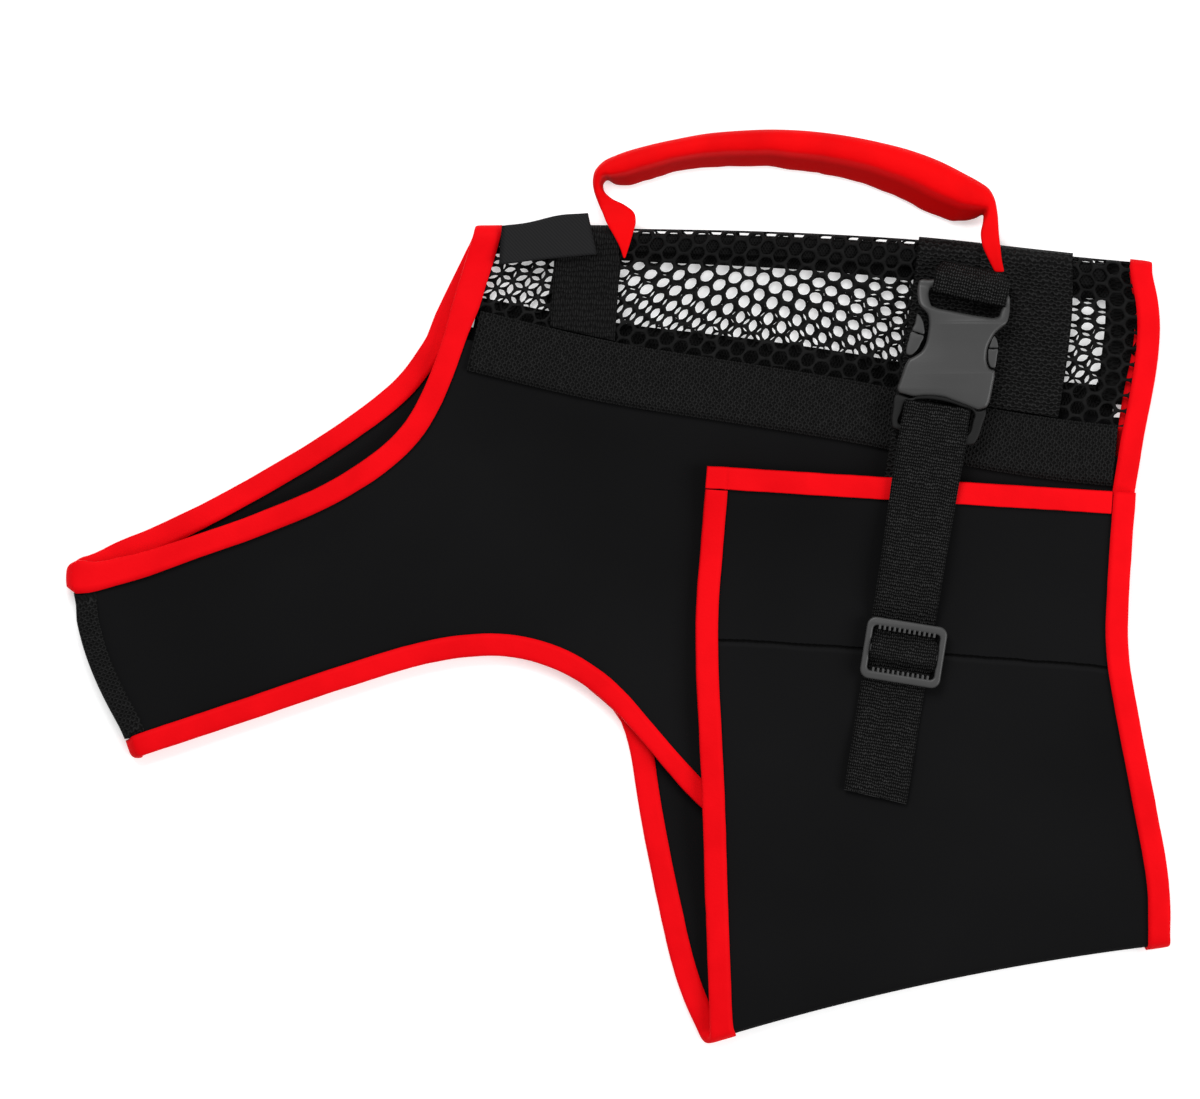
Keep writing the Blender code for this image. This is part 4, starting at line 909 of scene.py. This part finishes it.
LABEL_LOW = 131  # the label's upper part is above this
LABEL_WAVES = [(-23, 8, 0.9), (-38, 7, -0.4)]  # where, how long and how high, on its upper edge
label = softened("neck_label", 4, name="neck_label_cloth")
points = points_of(label)
high_up = np.clip((points[:, 1] - LABEL_LOW) / 14, 0, 1)
points[:, 1] += high_up * sum(height * bell(points[:, 0] - at, long) for at, long, height in LABEL_WAVES)
points[:, 1] -= (1 - high_up) * 0.5 * bell(points[:, 0] + 44, 8)
points[:, 2] += 0.5 * np.sin((points[:, 0] + 47) / 39 * pi) - 0.3 * high_up
move_points(label, points)
dressed(label, LABEL, "neck_label")


# Handle

HANDLE = [  # its two sides in the photograph's pixels, and its height, front to rear
    Grip(623.4, 258.7, 625.2, 258.7, 10.4, 11.6), Grip(619.5, 247.5, 629, 247.5, 10.4, 12.0),
    Grip(613, 235, 633, 234, 10.6, 12.2), Grip(606, 223, 636, 222.5, 10.2, 12.0),
    Grip(602.5, 214, 634.7, 213.8, 9.0, 11.2), Grip(599, 206, 625, 205.4, 7.6, 10.4),
    Grip(596.2, 198.6, 611.2, 198.4, 5.0, 10.4), Grip(593.6, 190.6, 604.2, 191, 3.2, 11.0),
    Grip(592.6, 181.6, 604, 184, 1.8, 12.2), Grip(594.6, 171.6, 607, 181, 0.8, 13.2),
    Grip(602, 162.6, 615, 184.6, 0.3, 14.0), Grip(618, 154.6, 630.5, 184.8, 0.2, 14.2),
    Grip(646, 146, 654, 178.5, 0.2, 14.3), Grip(676, 139.3, 682, 171, 0.2, 14.3),
    Grip(706, 133.8, 712, 168, 0.2, 14.3), Grip(740, 130.8, 742, 166.2, 0.2, 14.3),
    Grip(775, 129.6, 772, 167.2, 0.2, 14.3), Grip(810, 131.3, 803, 171.4, 0.2, 14.3),
    Grip(845, 135.6, 832.5, 177.3, 0.2, 14.3), Grip(878, 142, 862, 184.8, 0.2, 14.3),
    Grip(910, 150.2, 890, 194.8, 0.2, 14.3), Grip(940, 161.3, 916.7, 206.8, 0.2, 14.3),
    Grip(965, 174, 942, 218.6, 0.2, 14.3), Grip(980, 182.3, 958, 221.8, 0.4, 14.0),
    Grip(988.5, 188.6, 974, 219.5, 1.4, 13.4), Grip(993.5, 197, 982.4, 216, 3.0, 12.8),
    Grip(997, 213, 982.2, 222, 5.6, 12.4), Grip(998.4, 233.5, 979.8, 233.5, 8.8, 12.4),
    Grip(999.7, 246, 981.2, 245, 10.2, 12.6), Grip(1001, 258.7, 987, 258.7, 10.4, 12.4),
    Grip(1003.7, 272.7, 994, 272.7, 10.4, 11.6),
]
# The grip's cut, across from its outer side (1) to its inner side (-1), and up (0 to 1).
GRIP_CUT = [
    (1.0, 0.42), (0.97, 0.66), (0.84, 0.88), (0.6, 0.98), (0.3, 1.0), (0.02, 0.97), (-0.16, 0.9),
    (-0.26, 0.76), (-0.45, 0.6), (-0.72, 0.42), (-0.93, 0.28), (-1.0, 0.2), (-0.93, 0.08),
    (-0.6, 0.0), (0, 0.0), (0.6, 0.02), (0.9, 0.14),
]
STRAP_CUT = [
    (1.0, 0.5), (0.96, 0.8), (0.8, 0.96), (0.5, 1.0), (0.3, 1.0), (0.1, 1.0), (-0.1, 1.0),
    (-0.3, 1.0), (-0.5, 1.0), (-0.8, 0.96), (-0.96, 0.8), (-1.0, 0.5), (-0.94, 0.12),
    (-0.6, 0.0), (0, 0.0), (0.6, 0.0), (0.94, 0.12),
]


def photo_spot(x, y):
    """A pixel of the photograph in the tables' millimetres."""
    return np.array([(x - PHOTO_ORIGIN[0]) * PIXEL, (PHOTO_ORIGIN[1] - y) * PIXEL])


HANDLE_STEPS = 6  # sections from one of its rows to the next
SEAM_SIDE = range(5, 9)  # the cut's points along the grip's seam, and below it
UNDER_SIDE = range(9, 13)
PAINTED_SHADE_SHARE = {7: 0.25, **dict.fromkeys(range(8, 14), 1.0)}  # how much painted shade each point of the cut takes on the grip's underside


def padded_handle():
    count = len(HANDLE)
    fine = (count - 1) * HANDLE_STEPS + 1
    outer_points = Line([photo_spot(*grip[:2]) for grip in HANDLE], HANDLE_STEPS).points
    inner_points = Line([photo_spot(*grip[2:4]) for grip in HANDLE], HANDLE_STEPS).points
    stations = np.linspace(0, count - 1, fine)
    low, high = (np.interp(stations, range(count), heights) for heights in list(zip(*HANDLE))[4:])
    reach = np.concatenate([[0], np.cumsum(np.linalg.norm(np.diff(outer_points, axis=0), axis=1))])
    points, faces = [], []
    sides = len(GRIP_CUT)
    for r in range(fine):
        full = np.clip((high[r] - low[r] - 7) / 6, 0, 1)
        middle = (outer_points[r] + inner_points[r]) / 2
        half = (outer_points[r] - inner_points[r]) / 2
        wave = noise.noise(Vector((reach[r] / 9, 1.7, 0)))
        wave += 0.5 * noise.noise(Vector((reach[r] / 3.4, 5.1, 0)))
        ripple = full * 0.085 * wave
        for k, ((ga, gu), (sa, su)) in enumerate(zip(GRIP_CUT, STRAP_CUT)):
            across = ga * full + sa * (1 - full)
            up = gu * full + su * (1 - full)
            if k in SEAM_SIDE:
                across += ripple * 0.6
            if k in UNDER_SIDE:
                across += ripple
            spot = middle + half * across
            points.append((*spot, low[r] + (high[r] - low[r]) * up))
    for r in range(fine - 1):
        for k in range(sides):
            n = (k + 1) % sides
            faces.append((r * sides + k, r * sides + n, (r + 1) * sides + n, (r + 1) * sides + k))
    faces.append(tuple(range(sides)))
    faces.append(tuple(range((fine - 1) * sides, fine * sides)))
    thing = new_object("carry_handle_padded", points, faces)
    # painted shade on the grip's underside: a share for each point, where the grip is full
    under = thing.data.attributes.new("painted_shade_under", "FLOAT", "POINT")
    shares = np.tile([PAINTED_SHADE_SHARE.get(k, 0.0) for k in range(sides)], fine)
    full = np.repeat(np.clip((high - low - 6) / 4, 0, 1), sides)
    under.data.foreach_set("value", (shares * full).astype(np.float32))
    shaped = bmesh.new()
    shaped.from_mesh(thing.data)
    bmesh.ops.recalc_face_normals(shaped, faces=shaped.faces)
    shaped.to_mesh(thing.data)
    shaped.free()
    soft = thing.modifiers.new("soft", "SUBSURF")
    soft.levels = soft.render_levels = 2
    apply_modifiers(thing)
    thing.data.shade_smooth()
    return thing


handle = dressed(padded_handle(), HANDLE_RED, "carry_handle")


# Buckle and slider

def smooth_loop(spots, steps=5):
    """A closed curve through pixels of the photograph, in the tables' millimetres."""
    points = [tuple(photo_spot(x, y)) for x, y in spots]
    count = len(points)
    dense = Line(points * 3, steps).points
    return dense[count * steps:2 * count * steps]


def rounded_rectangle(width, height, radius, shift=(0, 0), steps=6):
    points = []
    for corner, (sx, sy) in enumerate(((1, 1), (-1, 1), (-1, -1), (1, -1))):
        for k in range(steps + 1):
            angle = pi / 2 * (corner + k / steps)
            points.append((sx * (width / 2 - radius) + radius * cos(angle) + shift[0],
                           sy * (height / 2 - radius) + radius * sin(angle) + shift[1]))
    return np.array(points)


PLATE_SHARP = radians(40)
PLATE_WELD = 1e-6  # in metres


def plates(name, parts):
    """Flat plates with rounded edges, all in one mesh."""
    shaped = bmesh.new()
    for part in parts:
        curve = bpy.data.curves.new(name, "CURVE")
        curve.dimensions = "2D"
        curve.fill_mode = "BOTH"
        curve.extrude = ((part.high - part.low) / 2 - part.round_over) * MM
        curve.bevel_depth = part.round_over * MM
        curve.bevel_resolution = 3
        curve.offset = -part.round_over * MM
        for loop in part.loops:
            loop = to_world(np.column_stack([loop, np.zeros(len(loop))]))
            spline = curve.splines.new("POLY")
            spline.points.add(len(loop) - 1)
            spline.points.foreach_set("co", np.column_stack([loop, np.ones(len(loop))]).ravel())
            spline.use_cyclic_u = True
        flat = placed(name, curve)
        graph = bpy.context.evaluated_depsgraph_get()
        mesh = bpy.data.meshes.new_from_object(flat.evaluated_get(graph))
        bpy.data.objects.remove(flat)
        for vertex in mesh.vertices:
            vertex.co.z += (part.low + part.high) / 2 * MM
        shaped.from_mesh(mesh)
        bpy.data.meshes.remove(mesh)
    bmesh.ops.remove_doubles(shaped, verts=shaped.verts, dist=PLATE_WELD)
    bmesh.ops.recalc_face_normals(shaped, faces=shaped.faces)
    mesh = bpy.data.meshes.new(name)
    shaped.to_mesh(mesh)
    shaped.free()
    mesh.shade_smooth()
    mesh.set_sharp_from_angle(angle=PLATE_SHARP)
    return placed(name, mesh)


# The buckle's outlines, in the photograph's pixels.
SOCKET = [
    (917.6, 284), (918.6, 281.2), (921, 280.2), (927, 280.4), (940, 279.5), (970, 285.5), (1000, 292),
    (1006, 294.5), (1008.6, 298), (1008.8, 304), (1008, 315.6), (1005.5, 323.6), (999.3, 329),
    (993.5, 334.5), (989.9, 340.6), (986.9, 347), (985.4, 355.8), (985.8, 364), (988.5, 369.6),
    (993.4, 371.6), (993.6, 376), (992, 385), (990, 395), (987.6, 404), (985.6, 407.4), (981, 409.2),
    (975.8, 409.9), (972.9, 408.8), (961.4, 404.2), (951.9, 400.7), (944.2, 397.8), (936.6, 396.4),
    (921.2, 395.9), (912.2, 396.5), (904, 394.6), (897.6, 392.2), (896.4, 389.5), (898.3, 383),
    (901.6, 373.5), (905, 364.5), (908.2, 359.6), (913, 357), (920.7, 351.3), (924.3, 345),
    (927, 333.4), (927.9, 322.7), (926.4, 314.6), (922, 309.6), (918.6, 305), (917, 298), (916.9, 290),
]
SOCKET_SLOT = [
    (929.6, 289.5), (929, 303), (930.4, 306.2), (934, 308), (947.5, 311.1), (965.4, 314.7),
    (983.2, 317.5), (994, 318.4), (997.6, 317.2), (999.8, 312), (1002, 305), (1001, 303), (966, 296),
    (931, 288.6),
]
PLUG = [
    (896.4, 394.6), (899, 395), (904, 396.7), (911.8, 398.6), (914, 396), (916, 393), (944, 394.5),
    (968, 401.5), (972, 404), (975.4, 410.9), (979, 411.2), (984.6, 409.9), (985, 413), (981.6, 424),
    (975.2, 441.3), (973, 444), (969, 445.2), (950, 441.4), (905, 432), (896, 429.6), (891.6, 427.4),
    (890.8, 423), (892, 410),
]
PLUG_OPENING = [
    (905.4, 401.8), (912, 400.5), (921, 399.5), (940, 401), (960, 407), (972.6, 413), (973.4, 415.5),
    (971.6, 422), (966.8, 434.8), (964, 436), (930, 430), (902, 425.6), (897.6, 423.4), (901, 412),
]
PRONGS = [
    [(916.6, 314.6), (919, 316.5), (921.3, 320.5), (923, 327), (922.9, 334.9), (917.5, 333.3),
     (911.6, 331), (914.4, 323.6), (915.6, 317)],
    [(911, 332.2), (917, 334.6), (922.6, 336.4), (919.8, 344), (915.5, 351.4), (909, 355.8),
     (906, 354.6), (905.5, 350), (907.8, 341)],
    [(993, 336.6), (994.8, 338.6), (996.3, 343), (996.5, 348.2), (992, 348.5), (988, 348.3),
     (989.2, 343.5), (991, 339)],
    [(996.5, 349.6), (996, 356), (995, 363), (993.3, 368.4), (989.8, 368), (987.4, 363.6),
     (986.6, 356.5), (987.6, 349.6), (992, 349.8)],
]

SOCKET_LOW, SOCKET_HIGH = 12.6, 20.6
socket = plates("buckle_socket_moulded", [
    Plate([smooth_loop(SOCKET), smooth_loop(SOCKET_SLOT)], SOCKET_LOW, SOCKET_HIGH, 1.3)])
points = points_of(socket)
up = buckle_frame(points)[1]
thinner = 1 - 0.4 * np.clip((up - 11) / 8, 0, 1)  # towards its bar
points[:, 2] = SOCKET_LOW + (points[:, 2] - SOCKET_LOW) * thinner
move_points(socket, points)
dressed(socket, BUCKLE, "buckle_socket")
# the plug's frame takes the darker copy of the buckle plastic as painted shade
plug_frame = [Plate([smooth_loop(PLUG), smooth_loop(PLUG_OPENING)], 14.1, 18.9, 0.8)]
dressed(plates("buckle_plug_frame", plug_frame), BUCKLE_PAINTED_SHADE, "buckle_plug")
prongs = [Plate([smooth_loop(prong)], 13.6, 19.4, 0.5) for prong in PRONGS]
dressed(plates("buckle_plug_prongs", prongs), BUCKLE, "buckle_plug")

SLIDER_OUTSIDE = (32.4, 24.8, 3.6)  # width, height and corner
SLIDER_INSIDE = (27.0, 18.2, 1.6)
SLIDER_BAR = (27.8, 3.4, 1.0)
TOOTH = (1.0, 2.6, 0.3)
TEETH = 12  # in each of two rows
TOOTH_PITCH = 2
TOOTH_ROW = 8.9  # from the slider's middle
slider_middle = np.array(STRAP_TOP) + STRAP_RUN * SLIDER_AT + STRAP_RIGHT * SLIDER_ASIDE
slider_low, slider_high = (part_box("strap_slider")[i][2] / MM for i in (0, 1))


def slider_loop(size, shift=(0, 0)):
    loop = rounded_rectangle(*size, shift)
    return slider_middle + loop[:, :1] * STRAP_RIGHT - loop[:, 1:] * STRAP_RUN


slider = [
    Plate([slider_loop(SLIDER_OUTSIDE), slider_loop(SLIDER_INSIDE)], slider_low, slider_high, 0.8),
    Plate([slider_loop(SLIDER_BAR)], slider_low, slider_low + 2.6, 0.6),
]
for k in range(TEETH):
    for side in (-1, 1):
        tooth = slider_loop(TOOTH, ((k - (TEETH - 1) / 2) * TOOTH_PITCH, side * TOOTH_ROW))
        slider.append(Plate([tooth], slider_high - 1.4, slider_high - 0.1, 0.25))
dressed(plates("strap_slider_moulded", slider), SLIDER, "strap_slider")


# Floor, lights and camera

def stage_material():
    made = Nodes("floor_white", grey(0.85), 0.9)
    made.shader.inputs["Specular IOR Level"].default_value = 0.1
    made.shader.inputs["Emission Color"].default_value = (1, 1, 1, 1)
    made.shader.inputs["Emission Strength"].default_value = 0.35
    return made.material


FLOOR_HALF = 4
FLOOR_BELOW = 0.0002  # in metres, so that it doesn't flicker through the cloth on it
floor_mesh = bpy.data.meshes.new("floor")
floor_corners = [(x * FLOOR_HALF, y * FLOOR_HALF, 0) for x, y in ((-1, -1), (1, -1), (1, 1), (-1, 1))]
floor_mesh.from_pydata(floor_corners, [], [(0, 1, 2, 3)])
floor = placed("floor", floor_mesh)
floor.location.z = -FLOOR_BELOW
floor_mesh.materials.append(stage_material())

world = bpy.data.worlds.new("studio")
world.use_nodes = True
sky = world.node_tree.nodes["Background"]
sky.inputs["Color"].default_value = (1, 1, 1, 1)
sky.inputs["Strength"].default_value = 0.55
scene.world = world


def area_light(name, spot, size, power):
    light = bpy.data.lights.new(name, "AREA")
    light.shape = "SQUARE"
    light.size = size
    light.energy = power
    thing = placed(name, light)
    thing.location = spot
    thing.rotation_mode = "QUATERNION"
    thing.rotation_quaternion = (-Vector(spot)).to_track_quat("-Z", "Y")


area_light("key", (-0.35, 1.0, 1.5), 0.9, 22)
area_light("fill", (1.1, -0.2, 1.0), 0.8, 12)

camera_data = bpy.data.cameras.new("camera")
camera_data.sensor_width = 36
camera_data.lens = 36 * CAMERA_HEIGHT / PHOTO_WIDTH
camera_data.clip_end = 20
camera = placed("camera", camera_data)
camera.location = to_world((*PHOTO_MIDDLE, CAMERA_HEIGHT + 10))
scene.camera = camera
scene.view_settings.view_transform = "Standard"
